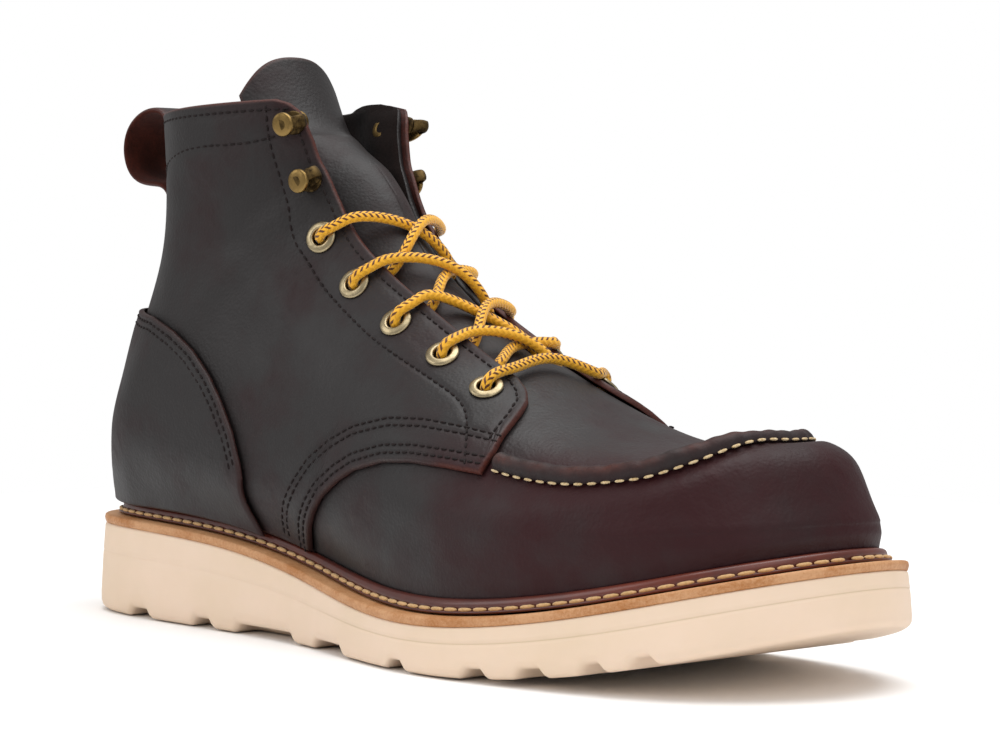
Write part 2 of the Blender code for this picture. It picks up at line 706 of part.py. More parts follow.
def build_tongue(material):
    """The tongue follows the throat under the eyestays, then falls back to stand inside the collar."""
    grids = []
    for side in (LATERAL, MEDIAL):
        top = TONGUE_TOP - TONGUE_TOP_ROUND * TONGUE_HALVES**TONGUE_TOP_POWER
        station = TONGUE_START + (top[None, :] - TONGUE_START) * TONGUE_ROWS[:, None]
        flat = station.ravel()
        under = np.interp(flat, column(THROAT, "station"), column(THROAT, "half")) + TONGUE_TUCK
        under = np.where(flat > LEAN_STATION, np.minimum(under, TONGUE_TOP_HALF), under)
        reach = first_share(side, flat, lambda points, at: np.abs(points[..., 1]) - under[:, None])
        share = reach.reshape(station.shape) * TONGUE_HALVES[None, :]
        grid = skin(side, station, share, np.full(station.shape, TONGUE_BASE))
        rise = np.clip((station - LEAN_STATION) / (TONGUE_TOP - LEAN_STATION), 0, 1)
        grid = grid + (TONGUE_LEAN * rise**LEAN_POWER)[..., None] * np.array(LEAN_WAY)
        grids.append((grid, side == MEDIAL))
    return shell("tongue", grids, TONGUE_WALL, material)


def seam_path():
    """Points and outward normals of the moc seam, from its lateral end round the toe to its medial end."""
    station = np.linspace(MOC_SEAM[0].station, MOC_SEAM[-1].station, 2 * SEAM_ROWS - 1)
    share = natural_spline(column(MOC_SEAM, "station"), column(MOC_SEAM, "share"), station)[:, 0]
    path = np.empty((len(station), 3))
    normal = np.empty((len(station), 3))
    for side in (LATERAL, MEDIAL):
        here = station * side >= 0
        at = np.abs(station[here])
        path[here] = skin(side, at, share[here], np.zeros(here.sum()))
        normal[here] = skin(side, at, share[here], np.ones(here.sum())) - path[here]
    return path, normal


def build_moc_seam(material):
    """The rolled ridge round the apron: a rounded profile along the seam line, clear of the leather."""
    path, normal = seam_path()
    run = np.gradient(path, axis=0)
    across = np.cross(run, normal)
    across /= np.linalg.norm(across, axis=1)[:, None]
    angle = np.radians(SEAM_ANGLES)
    out = SEAM_WIDTH / 2 * np.cos(angle)
    up = SEAM_CLEAR + (SEAM_HEIGHT - GAP) * np.sin(angle)
    ring = path[:, None] + out[None, :, None] * across[:, None] + up[None, :, None] * normal[:, None]
    return closed_sweep("moc_seam", ring, material)


def closed_sweep(name, rings, material):
    """A solid from a row of closed rings of points, with flat ends."""
    mesh = welded_mesh(name, [(np.concatenate([rings, rings[:, :1]], axis=1), False)])
    face_outwards(mesh)
    return add_object(name, mesh, material)


def ladder(inset, count):
    """Pairs of outline points at the same x, from heel to toe, on the sole's curve moved in by inset."""
    curve = sole_curve(inset)
    back, tip = curve[:, 0].argmin(), curve[:, 0].argmax()
    curve = np.roll(curve, -back, axis=0)
    tip = (tip - back) % len(curve)
    outer = curve[: tip + 1]
    inner = np.vstack([curve[tip:], curve[:1]])[::-1]
    middle, half = (curve[tip, 0] + curve[0, 0]) / 2, (curve[tip, 0] - curve[0, 0]) / 2
    x = middle - half * np.cos(np.linspace(0, math.pi, count))
    return x, np.interp(x, outer[:, 0], outer[:, 1]), np.interp(x, inner[:, 0], inner[:, 1])


def plate(name, levels, material, count=PLATE_COUNT):
    """A sole layer: levels are (inset, height function) from the bottom up, and each gives a ring of it."""
    grids = []
    rings = []
    for inset, height in levels:
        x, outer, inner = ladder(inset, count)
        z = height(x)
        lateral = np.column_stack([x, outer, z])
        medial = np.column_stack([x, inner, z])
        rings.append((lateral, medial))
    for low, high in zip(rings[:-1], rings[1:]):
        grids.append((np.stack([low[0], high[0]], axis=1), True))
        grids.append((np.stack([low[1], high[1]], axis=1), False))
    grids.append((np.stack(rings[0], axis=1), False))
    grids.append((np.stack(rings[-1], axis=1), True))
    mesh = welded_mesh(name, grids)
    face_outwards(mesh)
    return add_object(name, mesh, material)


def lug_cutter():
    """Blocks that cut the gaps between the lugs from the tread's edge, on both sides."""
    model = bmesh.new()
    outline = sole_curve(-SOLE_FLARE)
    for gap in LUG_GAPS:
        middle = (gap.start + gap.end) / 2
        for side in (LATERAL, MEDIAL):
            near = np.argmin(np.abs(outline[:, 0] - middle) + FAR * (outline[:, 1] * side < 0))
            edge = outline[near, 1]
            floor = float(tread(middle))
            size = Vector((gap.end - gap.start, 2 * LUG_REACH, 2 * LUG_DEPTH)) * MM
            place = Matrix.Translation(Vector((middle, edge, floor - LUG_SINK)) * MM)
            bmesh.ops.create_cube(model, size=1.0, matrix=place @ Matrix.Diagonal(size).to_4x4())
    mesh = bpy.data.meshes.new("lug_cutter")
    model.to_mesh(mesh)
    model.free()
    cutter = bpy.data.objects.new("lug_cutter", mesh)
    cutter.hide_render = True
    cutter.display_type = "WIRE"
    CUTTERS.objects.link(cutter)
    return cutter


def above_wedge(height):
    """A height function that stays this far above the wedge's top."""
    return lambda x: wedge_top(x) + height


def build_sole(cream, tan, brown, footbed):
    """Wedge outsole with lugs, tan midsole, welt with its bead, and insole."""
    levels = [
        (TREAD_INSET, tread),
        (-SOLE_FLARE, lambda x: tread(x) + FLARE_HEIGHT),
        (0.0, lambda x: np.maximum(wedge_top(x) - TOP_BEVEL, tread(x) + THINNEST)),
        (TOP_INSET, wedge_top),
    ]
    outsole = plate("outsole", levels, cream, OUTSOLE_COUNT)
    cut = outsole.modifiers.new("lugs", "BOOLEAN")
    cut.operation = "DIFFERENCE"
    cut.solver = "EXACT"
    cut.object = lug_cutter()
    low, high = GAP, GAP + MIDSOLE_THICK
    plate("midsole", [(MIDSOLE_INSET, above_wedge(low)), (MIDSOLE_INSET, above_wedge(high))], tan)
    low = high + GAP
    high = low + INSOLE_THICK
    plate("insole", [(INSOLE_INSET, above_wedge(low)), (INSOLE_INSET, above_wedge(high))], footbed)
    build_welt(brown)


def build_welt(material):
    """The welt: a thin lip on the midsole and a rounded bead that stands against the upper all round."""
    at = np.array([station for station in UPPER_STATIONS if station <= HEEL_STATION], float)
    lip = FEATHER_INSET - WELT_EDGE_INSET
    profile = [
        (SKIN_GAP, 0.0),
        (lip, 0.0),
        (lip, WELT_LIP),
        (BEAD_WIDTH, WELT_LIP + GAP),
        (BEAD_WIDTH, WELT_BEAD * BEAD_SHOULDER),
        (SKIN_GAP, WELT_BEAD),
    ]
    halves = []
    for side in (LATERAL, MEDIAL):
        foot, outwards = section_ends(side, at)
        head = form(side, at, first_share(side, at, bead_height))
        back = section_ends(side, np.linspace(HEEL_STATION, HEEL_STATION + 1, BACK_POINTS))[0]
        head[-1] = [np.interp(foot[-1, 2] + WELT_BEAD, back[:, 2], back[:, k]) for k in range(3)]
        outwards = np.column_stack([outwards, np.zeros(len(at))])
        rise = (head - foot) / WELT_BEAD
        ring = np.stack([foot + rise * up + outwards * out for out, up in profile], axis=1)
        ring[..., 2] = wedge_top(ring[..., 0]) + FEATHER_RISE + np.array([up for out, up in profile])
        halves.append(ring)
    loop = np.concatenate([halves[0], halves[1][::-1][1:-1]])
    loop = np.concatenate([loop, loop[:1]])
    return closed_sweep("welt", loop, material)


def bead_height(points, at):
    return wedge_top(points[..., 0]) + FEATHER_RISE + WELT_BEAD - points[..., 2]


def band(name, path, across, width, wall, material):
    """A strap of rectangular section: path is its middle line, across its width's direction."""
    run = np.gradient(path, axis=0)
    up = np.cross(run, across)
    up *= wall / 2 / np.linalg.norm(up, axis=1)[:, None]
    out = np.asarray(across) * width / 2
    rings = np.stack([path - out - up, path + out - up, path + out + up, path - out + up], axis=1)
    return closed_sweep(name, rings, material)


def build_pull_loop(material):
    """The strap's loop behind the collar, seated at both ends on the backstay."""
    line = np.array(LOOP_LINE, float)
    turns = np.arange(len(line))
    smooth = natural_spline(turns, line, np.linspace(0, turns[-1], 2 * len(line) - 1))
    path = np.column_stack([smooth[:, 0], np.zeros(len(smooth)), smooth[:, 1]])
    return band("pull_loop", path, (0.0, 1.0, 0.0), 2 * LOOP_HALF, LOOP_WALL, material)


def seat(side, fitting, offset):
    """Place and axes of a fitting on the quarter: forward to the throat, across, and out from the leather."""
    station, share = np.array([fitting.station], float), np.array([fitting.share], float)
    place = skin(side, station, share, np.array([offset]))[0]
    out = form_normal(side, station, share)[0]
    forward = form(side, station, share - SEAT_STEP)[0] - form(side, station, share)[0]
    forward -= out * (forward @ out)
    forward /= np.linalg.norm(forward)
    return place, forward, np.cross(out, forward), out


def build_eyelet(side, name, fitting, material):
    """A brass ring turned about its axis and set on the quarter."""
    mesh = bpy.data.meshes.new(name)
    count = len(EYELET_RIM)
    points = [(rim.radius * MM, 0.0, rim.height * MM) for rim in EYELET_RIM]
    mesh.from_pydata(points, [(i, (i + 1) % count) for i in range(count)], [])
    place, forward, across, out = seat(side, fitting, QUARTER_BASE + QUARTER_WALL + GAP)
    matrix = Matrix(np.column_stack([forward, across, out]).tolist()).to_4x4()
    matrix.translation = Vector(place * MM)
    obj = add_object(name, mesh, material, matrix)
    turn = obj.modifiers.new("turn", "SCREW")
    turn.steps = EYELET_STEPS
    turn.render_steps = EYELET_STEPS
    turn.use_merge_vertices = True
    turn.merge_threshold = WELD
    turn.use_normal_calculate = True
    turn.use_normal_flip = True
    return obj


def build_hook(side, name, fitting, material):
    """A bent brass band: a base on the quarter, a neck by the throat and a lip that turns to the back."""
    place, forward, across, out = seat(side, fitting, QUARTER_BASE + QUARTER_WALL + GAP + HOOK_WALL / 2)
    bend = np.array(HOOK_BEND, float)
    turns = np.arange(len(bend))
    smooth = natural_spline(turns, bend, np.linspace(0, turns[-1], HOOK_STEPS))
    path = place + smooth[:, :1] * forward + smooth[:, 1:] * out
    return band(name, path, across, HOOK_WIDTH, HOOK_WALL, material)


def share_at(side, station, half):
    """Share of a section where it lies half from the middle."""
    at = np.array([station], float)
    return first_share(side, at, lambda points, here: np.abs(points[..., 1]) - half)[0]


def lace_point(side, station, share, offset):
    """One point of the lace, at an offset from the form."""
    return skin(side, np.array([station], float), np.array([share], float), np.array([offset]))[0]


def over_edge(side, fitting):
    """Points of a strand from the eyestay's edge to the eyelet, lying on the leather."""
    edge = np.interp(fitting.station, column(THROAT, "station"), column(THROAT, "half"))
    at_edge = share_at(side, fitting.station, edge)
    return [
        lace_point(side, fitting.station, at_edge, LACE_OVER),
        lace_point(side, fitting.station, (at_edge + fitting.share) / 2, LACE_AT_EYELET),
        lace_point(side, fitting.station, fitting.share, LACE_AT_EYELET),
    ]


def strand(side, low, high):
    """A strand from under one eyestay, across the tongue and over the other eyestay to its eyelet."""
    first = max(low.station, THROAT_STATION + LACE_AHEAD)
    edge = np.interp(first, column(THROAT, "station"), column(THROAT, "half")) - LACE_INSIDE
    middle = (first + high.station) / 2
    start = lace_point(side, first, share_at(side, first, edge), LACE_UNDER)
    return [start, lace_point(side, middle, 0.0, LACE_MIDDLE)] + over_edge(-side, high)


def tube(name, points, material):
    """A round tube through points, as a curve with a bevel and filled ends."""
    turns = np.arange(len(points))
    path = natural_spline(turns, points, np.linspace(0, turns[-1], 2 * len(points))) * MM
    curve = bpy.data.curves.new(name, "CURVE")
    curve.dimensions = "3D"
    curve.bevel_depth = LACE_WIDTH / 2 * MM
    curve.bevel_resolution = 1
    curve.use_fill_caps = True
    spline = curve.splines.new("POLY")
    spline.points.add(len(path) - 1)
    spline.points.foreach_set("co", np.column_stack([path, np.ones(len(path))]).ravel())
    curve.materials.append(material)
    return curve


def tube_mesh(name, points, material):
    """The tube as a closed mesh, for a Boolean."""
    guide = bpy.data.objects.new(name, tube(name, points, material))
    BOOT.objects.link(guide)
    bpy.context.view_layer.update()
    mesh = bpy.data.meshes.new_from_object(guide.evaluated_get(bpy.context.evaluated_depsgraph_get()))
    bpy.data.objects.remove(guide)
    model = bmesh.new()
    model.from_mesh(mesh)
    bmesh.ops.remove_doubles(model, verts=model.verts, dist=SLIVER)
    bmesh.ops.recalc_face_normals(model, faces=model.faces)
    model.to_mesh(mesh)
    model.free()
    return mesh


def build_lace(material):
    """The bar at the lowest eyelets, and a crossing of two strands for each pair of rows above it."""
    bottom = EYELETS[-1]
    middle = lace_point(LATERAL, bottom.station, 0.0, LACE_OVER)
    bar = over_edge(LATERAL, bottom)[::-1] + [middle] + over_edge(MEDIAL, bottom)
    BOOT.objects.link(bpy.data.objects.new("lace_bar", tube("lace_bar", bar, material)))
    for number, (high, low) in enumerate(zip(EYELETS[:-1], EYELETS[1:]), 1):
        name = f"lace_cross_{number}"
        cross = add_object(name, tube_mesh(name, strand(LATERAL, low, high), material), material)
        other = bpy.data.objects.new(name + "_strand", tube_mesh(name, strand(MEDIAL, low, high), material))
        other.hide_render = True
        other.display_type = "WIRE"
        CUTTERS.objects.link(other)
        join = cross.modifiers.new("strand", "BOOLEAN")
        join.operation = "UNION"
        join.solver = "EXACT"
        join.object = other


def build_fittings(brass):
    for side, word in ((LATERAL, "lateral"), (MEDIAL, "medial")):
        for number, fitting in enumerate(EYELETS, 1):
            build_eyelet(side, f"eyelet_{word}_{number}", fitting, brass)
        for number, fitting in enumerate(HOOKS, 1):
            build_hook(side, f"hook_{word}_{number}", fitting, brass)


for old in list(bpy.data.objects):
    bpy.data.objects.remove(old)
BOOT = bpy.data.collections.new("moc_toe_work_boot")
CUTTERS = bpy.data.collections.new("cutters")
bpy.context.scene.collection.children.link(BOOT)
bpy.context.scene.collection.children.link(CUTTERS)

CREAM = finish("cream_wedge_rubber", (0.78, 0.60, 0.42), 0.6)
TAN = finish("tan_sole_leather", (0.52, 0.29, 0.12), 0.6)
BROWN = finish("brown_welt_leather", (0.13, 0.045, 0.03), 0.45)
FOOTBED = finish("footbed_leather", (0.40, 0.24, 0.12), 0.7)
VAMP = finish("dark_oiled_leather", (0.045, 0.022, 0.02), 0.5)
QUARTER = finish("quarter_leather", (0.038, 0.028, 0.026), 0.5)
COUNTER = finish("counter_leather", (0.036, 0.026, 0.025), 0.5)
TONGUE = finish("tongue_leather", (0.042, 0.028, 0.027), 0.55)
SEAM = finish("moc_seam_leather", (0.07, 0.03, 0.022), 0.55)
BRASS = finish("antique_brass", (0.45, 0.33, 0.18), 0.35, 1.0)
LACE = finish("gold_waxed_lace", (0.50, 0.28, 0.06), 0.75)

build_sole(CREAM, TAN, BROWN, FOOTBED)
build_upper(VAMP)
build_quarter(LATERAL, "quarter_lateral", QUARTER)
build_quarter(MEDIAL, "quarter_medial", QUARTER)
build_counter(COUNTER)
build_backstay(QUARTER)
build_tongue(TONGUE)
build_moc_seam(SEAM)
build_pull_loop(QUARTER)
build_fittings(BRASS)
build_lace(LACE)
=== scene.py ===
"""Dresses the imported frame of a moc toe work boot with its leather, sole, stitching, brass and laces.

The boot stands on z = 0 with its toe along +X and its outer side along -Y.  Tables are in millimetres and
MM turns them into metres.  The leather follows one smooth form: a point is named by its station, which counts
from the toe's tip (0) round to the collar (18), and its share, which runs from the top line (0) down to the
sole or the back (1).
"""

import functools
import math
from collections import namedtuple

import bmesh
import bpy
import numpy as np
from bpy.props import FloatProperty, FloatVectorProperty, PointerProperty
from mathutils import Matrix, Vector


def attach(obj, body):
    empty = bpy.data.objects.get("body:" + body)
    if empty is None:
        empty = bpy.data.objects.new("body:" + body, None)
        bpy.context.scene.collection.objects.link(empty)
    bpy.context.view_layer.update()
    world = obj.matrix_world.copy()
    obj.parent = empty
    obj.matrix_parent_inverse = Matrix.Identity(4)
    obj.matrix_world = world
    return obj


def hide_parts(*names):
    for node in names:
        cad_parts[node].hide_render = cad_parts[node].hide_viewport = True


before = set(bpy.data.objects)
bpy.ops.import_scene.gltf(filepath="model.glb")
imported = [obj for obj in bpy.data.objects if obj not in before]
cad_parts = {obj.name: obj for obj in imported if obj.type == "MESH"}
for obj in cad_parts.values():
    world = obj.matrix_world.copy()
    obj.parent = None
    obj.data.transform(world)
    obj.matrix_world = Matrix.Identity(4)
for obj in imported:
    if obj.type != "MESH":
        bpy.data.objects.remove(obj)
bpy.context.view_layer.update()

bl_info = {
    "name": "Moc toe work boot",
    "version": (1, 0, 0),
    "blender": (4, 5, 0),
    "location": "View3D > Sidebar > Boot",
    "description": "Builds the leather, sole, stitching, brass and laces of a moc toe work boot on its frame",
    "category": "Object",
}

MM = 0.001
LATERAL, MEDIAL = -1, 1

# Driving sizes of the sole
SOLE_LENGTH = 302.0
BALL_WIDTH = 110.0
SPRING_START, SPRING_END, TOE_SPRING = 45.0, 150.0, 17.3
MIDSOLE_THICK = 2.5
GAP = 0.3
SKIN_GAP = 0.7
COUNTER_GAP = 1.1
TONGUE_GAP = 1.0
FEATHER_INSET = 8.5
FEATHER_RISE = MIDSOLE_THICK + 3 * GAP
WELT_BEAD = 4.0
LUG_DEPTH, LUG_REACH, MOULD_LINE = 2.8, 8.0, 0.68

# Driving sizes of the leather
UPPER_WALL, QUARTER_WALL, COUNTER_WALL, TONGUE_WALL, STAY_WALL = 2.0, 1.8, 1.5, 1.8, 1.2
QUARTER_BASE = SKIN_GAP
COUNTER_BASE = QUARTER_BASE + QUARTER_WALL + COUNTER_GAP
TONGUE_BASE = -UPPER_WALL - TONGUE_GAP - TONGUE_WALL
SEAM_WIDTH, SEAM_HEIGHT = 6.4, 3.5
THROAT_STATION, TONGUE_START, TONGUE_TOP = 6.5, 6.05, 19.0
TONGUE_LEAN, LEAN_STATION, LEAN_POWER, LEAN_WAY = 30.0, 12.0, 1.6, (-0.97, 0.0, -0.24)
TONGUE_TUCK, TONGUE_TOP_HALF, TONGUE_TOP_ROUND, TONGUE_TOP_POWER = 8.0, 23.0, 0.55, 2.5
STAY_HALF, STAY_AHEAD, LOOP_HALF, LOOP_WALL = 7.0, -90.0, 11.0, 2.0

# Driving sizes of the fittings
LACE_WIDTH = 3.2
HOOK_WALL = 1.1

Outline = namedtuple("Outline", "along across")
SOLE_OUTLINE = [
    Outline(-0.4977, 0.000), Outline(-0.4702, -0.233), Outline(-0.3709, -0.327), Outline(-0.1987, -0.339),
    Outline(-0.0530, -0.385), Outline(0.1159, -0.500), Outline(0.2649, -0.471), Outline(0.3990, -0.371),
    Outline(0.4735, -0.188), Outline(0.5033, 0.055), Outline(0.4801, 0.309), Outline(0.3924, 0.445),
    Outline(0.2483, 0.498), Outline(0.0993, 0.418), Outline(-0.0662, 0.305), Outline(-0.2152, 0.309),
    Outline(-0.3709, 0.335), Outline(-0.4702, 0.231),
]

# Height of the wedge's top along the sole: a high heel, a thin ball and a toe that turns up
Wedge = namedtuple("Wedge", "x height")
WEDGE_TOP = [
    Wedge(-156, 28.4), Wedge(-100, 27.4), Wedge(-60, 24.6), Wedge(-5, 16.2), Wedge(50, 13.6),
    Wedge(100, 20.4), Wedge(156, 34.1),
]

# Cut-outs along the tread's edge, on both sides
Lug = namedtuple("Lug", "start end")
LUG_GAPS = [
    Lug(-115, -104), Lug(-81, -71), Lug(-59, -28), Lug(-15, 4), Lug(31, 39), Lug(62, 70), Lug(80, 89),
    Lug(100, 107), Lug(114, 121),
]

# Toe sections fan out from a pole on the apron.  girth is the share of the feather line from toe tip to heel,
# and lean moves the shoulder in towards the pole, so that the toe slopes back above its widest line.
TOE_POLE = (100.0, 5.0, 62.4)
POLE_SLOPE = -0.1
TOP_AHEAD = -0.6
Toe = namedtuple("Toe", "station girth bulge wide_z roof shoulder lean")
TOE_SECTIONS = [
    Toe(0, 0.000, 1.6, 46.0, 0.70, 2.20, 0.42), Toe(1, 0.055, 1.7, 45.5, 0.70, 2.15, 0.42),
    Toe(2, 0.110, 1.8, 44.5, 0.70, 1.85, 0.38), Toe(3, 0.165, 1.9, 43.0, 0.68, 1.40, 0.27),
    Toe(4, 0.210, 2.0, 42.0, 0.66, 1.04, 0.14),
]

# Body sections run from a point on the top line, through the widest point, to the feather or the back line
BODY_COLUMNS = "station girth top_x top_y top_z wide_x lateral medial wide_z roof shoulder lift across"
Body = namedtuple("Body", BODY_COLUMNS)
BODY_SECTIONS = [
    Body(5, 0.28, 75.0, 3.0, 67.0, 75.0, 46.5, 48.0, 40.0, 0.60, 0.62, 8.0, 0.0),
    Body(6, 0.36, 48.0, 1.0, 78.5, 48.5, 48.5, 45.0, 39.0, 0.56, 0.48, 8.0, 0.0),
    Body(7, 0.45, 24.0, 0.0, 91.5, 18.0, 46.0, 38.5, 41.0, 0.56, 0.46, 8.0, 0.0),
    Body(8, 0.55, 6.0, 0.0, 103.5, -14.0, 40.5, 33.5, 45.0, 0.58, 0.48, 9.0, 0.0),
    Body(9, 0.65, -7.0, 0.0, 113.5, -47.0, 36.5, 32.5, 50.0, 0.60, 0.50, 10.0, 0.0),
    Body(10, 0.77, -15.5, 0.0, 122.0, -84.0, 34.8, 33.5, 56.0, 0.60, 0.52, 11.0, 0.0),
    Body(11, 0.852, -20.5, 0.0, 128.0, -103.8, 34.5, 34.0, 60.0, 0.60, 0.54, 12.7, 0.5),
    Body(12, 0.894, -24.5, 0.0, 134.0, -110.7, 34.1, 33.9, 65.2, 0.60, 0.54, 7.2, -0.5),
    Body(13, 1.00, -28.0, 0.0, 140.0, -108.4, 33.4, 33.3, 77.2, 0.60, 0.54, 18.0, 17.4),
    Body(14, 1.00, -31.0, 0.0, 146.0, -102.0, 32.1, 32.1, 91.0, 0.60, 0.54, 6.2, 13.4),
    Body(15, 1.00, -33.5, 0.0, 150.5, -95.5, 30.9, 30.9, 106.0, 0.60, 0.54, 0.0, 19.0),
    Body(16, 1.00, -35.8, 0.0, 155.0, -89.5, 30.6, 30.6, 122.0, 0.60, 0.54, 0.0, 18.0),
    Body(17, 1.00, -37.8, 0.0, 159.5, -86.5, 31.4, 31.4, 141.0, 0.60, 0.54, 0.0, 17.0),
    Body(18, 1.00, -39.5, 0.0, 164.5, -84.5, 32.6, 32.6, 162.5, 0.60, 0.54, 0.0, 18.0),
    Body(19, 1.00, -44.5, 0.0, 187.0, -86.5, 33.6, 33.6, 184.0, 0.60, 0.54, 0.0, 18.0),
]
FLANK = 0.5
LIFT_LEAN = 0.12

# The back line above the heel's feather point
HEEL_STATION = 13
Back = namedtuple("Back", "station x z")
BACK_LINE = [
    Back(14, -146.5, 57.0), Back(15, -136.5, 84.0), Back(16, -126.3, 108.0), Back(17, -122.3, 131.0),
    Back(18, -124.3, 160.5), Back(19, -128.0, 182.0),
]

# Half the width of the throat between the eyestays.  The first rows round the quarter's lower front corner,
# and the last ones its corner at the collar.
Throat = namedtuple("Throat", "station half")
THROAT = [
    Throat(5.68, 38.0), Throat(5.74, 33.0), Throat(5.80, 25.5), Throat(5.90, 19.5), Throat(6.05, 16.2),
    Throat(6.25, 14.4), Throat(8.0, 14.5), Throat(12.5, 15.2), Throat(14.7, 16.5), Throat(16.3, 18.1),
    Throat(17.4, 19.9), Throat(17.7, 21.0), Throat(17.9, 22.8), Throat(18.0, 25.2), Throat(19.0, 27.0),
]

# Lower edge of the quarter and upper edge of the heel counter, seen from the side
Line = namedtuple("Line", "x z")
QUARTER_EDGE = [
    Line(-32, 8.0), Line(-26, 29.8), Line(-23, 34.0), Line(-18, 39.8), Line(-13, 44.8), Line(-5, 49.8),
    Line(3, 53.4), Line(16, 56.4), Line(28, 57.0), Line(43, 56.2), Line(60, 54.8),
]
COUNTER_EDGE = [
    Line(-150, 97.0), Line(-118, 97.0), Line(-104, 95.5), Line(-92, 91.5), Line(-82, 85.5), Line(-73, 78.0),
    Line(-66, 70.5), Line(-59, 61.5), Line(-54, 52.0), Line(-51, 42.0), Line(-48, 10.0),
]

# The raised seam round the apron, as a share of the section.  Lateral stations are negative here.
Seam = namedtuple("Seam", "station share")
MOC_SEAM = [
    Seam(-5.62, 0.300), Seam(-5.0, 0.305), Seam(-4.4, 0.318), Seam(-4.0, 0.322), Seam(-3.4, 0.332),
    Seam(-2.8, 0.328), Seam(-2.2, 0.308), Seam(-1.5, 0.268), Seam(-0.7, 0.230), Seam(0.0, 0.212),
    Seam(0.7, 0.205), Seam(1.5, 0.197), Seam(2.2, 0.198), Seam(2.8, 0.208), Seam(3.4, 0.222),
    Seam(4.0, 0.240), Seam(4.4, 0.255), Seam(5.0, 0.280), Seam(5.62, 0.300),
]

# Eyelets from the top row down, then hooks, as places on the quarter
Fitting = namedtuple("Fitting", "station share")
EYELETS = [
    Fitting(11.5, 0.185), Fitting(9.4, 0.187), Fitting(8.17, 0.182), Fitting(7.17, 0.165),
    Fitting(6.37, 0.165),
]
HOOKS = [Fitting(17.3, 0.235), Fitting(14.5, 0.200)]

# Middle line of a hook's bent band: forward is towards the throat, and height is above the quarter
Bend = namedtuple("Bend", "forward height")
HOOK_BEND = [
    Bend(-4.5, 0.0), Bend(-1.0, 0.0), Bend(2.2, 0.1), Bend(4.3, 1.6), Bend(4.0, 3.8), Bend(1.5, 5.2),
    Bend(-1.8, 5.4), Bend(-4.6, 4.4),
]

# A point of a profile that is turned about its own axis
Rim = namedtuple("Rim", "radius height")

# Middle line of the pull loop's strap behind the back seam
LOOP_LINE = [
    Line(-130.3, 152.0), Line(-131.0, 159.0), Line(-135.0, 163.0), Line(-143.0, 163.0), Line(-151.0, 158.5),
    Line(-154.0, 151.0), Line(-151.0, 143.5), Line(-143.5, 139.8), Line(-134.5, 138.8), Line(-129.6, 135.5),
    Line(-128.9, 130.0),
]
LACE_AHEAD, LACE_STEP = 0.2, 0.8
STAY_STATIONS = [15.75, 16, 16.7, 17.4, 17.95]

# How finely curves are read, and how near points are joined
OUTLINE_POINTS, OUTLINE_WRAP, SHARE_POINTS = 720, 4, 241
TANGENT_STEP, NORMAL_STEP, FAR = 0.004, 0.01, 1000.0


def unit(vectors):
    return vectors / np.linalg.norm(vectors, axis=-1)[..., None]


def reach_along(line):
    """Length along a line of points, up to each of them."""
    return np.append(0.0, np.cumsum(np.linalg.norm(np.diff(line, axis=0), axis=1)))


def read_columns(at, knots, values):
    """Each column of values, read straight between the knots."""
    return np.column_stack([np.interp(at, knots, value) for value in values.T])


def natural_spline(knots, values, at):
    """The natural cubic spline through values at knots, read at the given places, a column for each value."""
    knots = np.asarray(knots, float)
    values = np.asarray(values, float).reshape(len(knots), -1)
    step = np.diff(knots)
    count = len(knots)
    system = np.eye(count)
    right = np.zeros_like(values)
    for i in range(1, count - 1):
        system[i, i - 1 : i + 2] = step[i - 1], 2 * (step[i - 1] + step[i]), step[i]
        right[i] = 6 * ((values[i + 1] - values[i]) / step[i] - (values[i] - values[i - 1]) / step[i - 1])
    bend = np.linalg.solve(system, right)
    at = np.clip(np.asarray(at, float).ravel(), knots[0], knots[-1])
    k = np.clip(np.searchsorted(knots, at, side="right") - 1, 0, count - 2)
    before = (knots[k + 1] - at)[:, None]
    after = (at - knots[k])[:, None]
    width = step[k][:, None]
    cubic = (bend[k] * before**3 + bend[k + 1] * after**3) / (6 * width)
    start = (values[k] / width - bend[k] * width / 6) * before
    end = (values[k + 1] / width - bend[k + 1] * width / 6) * after
    return cubic + start + end


def monotone_spline(knots, values, at):
    """A cubic through values at knots that never overshoots them."""
    knots = np.asarray(knots, float)
    values = np.asarray(values, float)
    step = np.diff(knots)
    slope = np.diff(values) / step
    tangent = np.zeros_like(values)
    tangent[0], tangent[-1] = slope[0], slope[-1]
    for i in range(1, len(knots) - 1):
        if slope[i - 1] * slope[i] > 0:
            near = 2 * step[i] + step[i - 1]
            far = step[i] + 2 * step[i - 1]
            tangent[i] = (near + far) / (near / slope[i - 1] + far / slope[i])
    at = np.clip(np.asarray(at, float).ravel(), knots[0], knots[-1])
    k = np.clip(np.searchsorted(knots, at, side="right") - 1, 0, len(knots) - 2)
    t = (at - knots[k]) / step[k]
    start = (2 * t**3 - 3 * t**2 + 1) * values[k] + (t**3 - 2 * t**2 + t) * step[k] * tangent[k]
    return start + (3 * t**2 - 2 * t**3) * values[k + 1] + (t**3 - t**2) * step[k] * tangent[k + 1]


def column(rows, name):
    return np.array([getattr(row, name) for row in rows], float)


def wedge_top(x):
    return natural_spline(column(WEDGE_TOP, "x"), column(WEDGE_TOP, "height"), x).reshape(np.shape(x))


def tread(x):
    """Height of the tread above the floor: flat from the heel to the ball, then turning up to the toe."""
    share = np.clip((np.asarray(x, float) - SPRING_START) / (SPRING_END - SPRING_START), 0, None)
    return TOE_SPRING * share**2


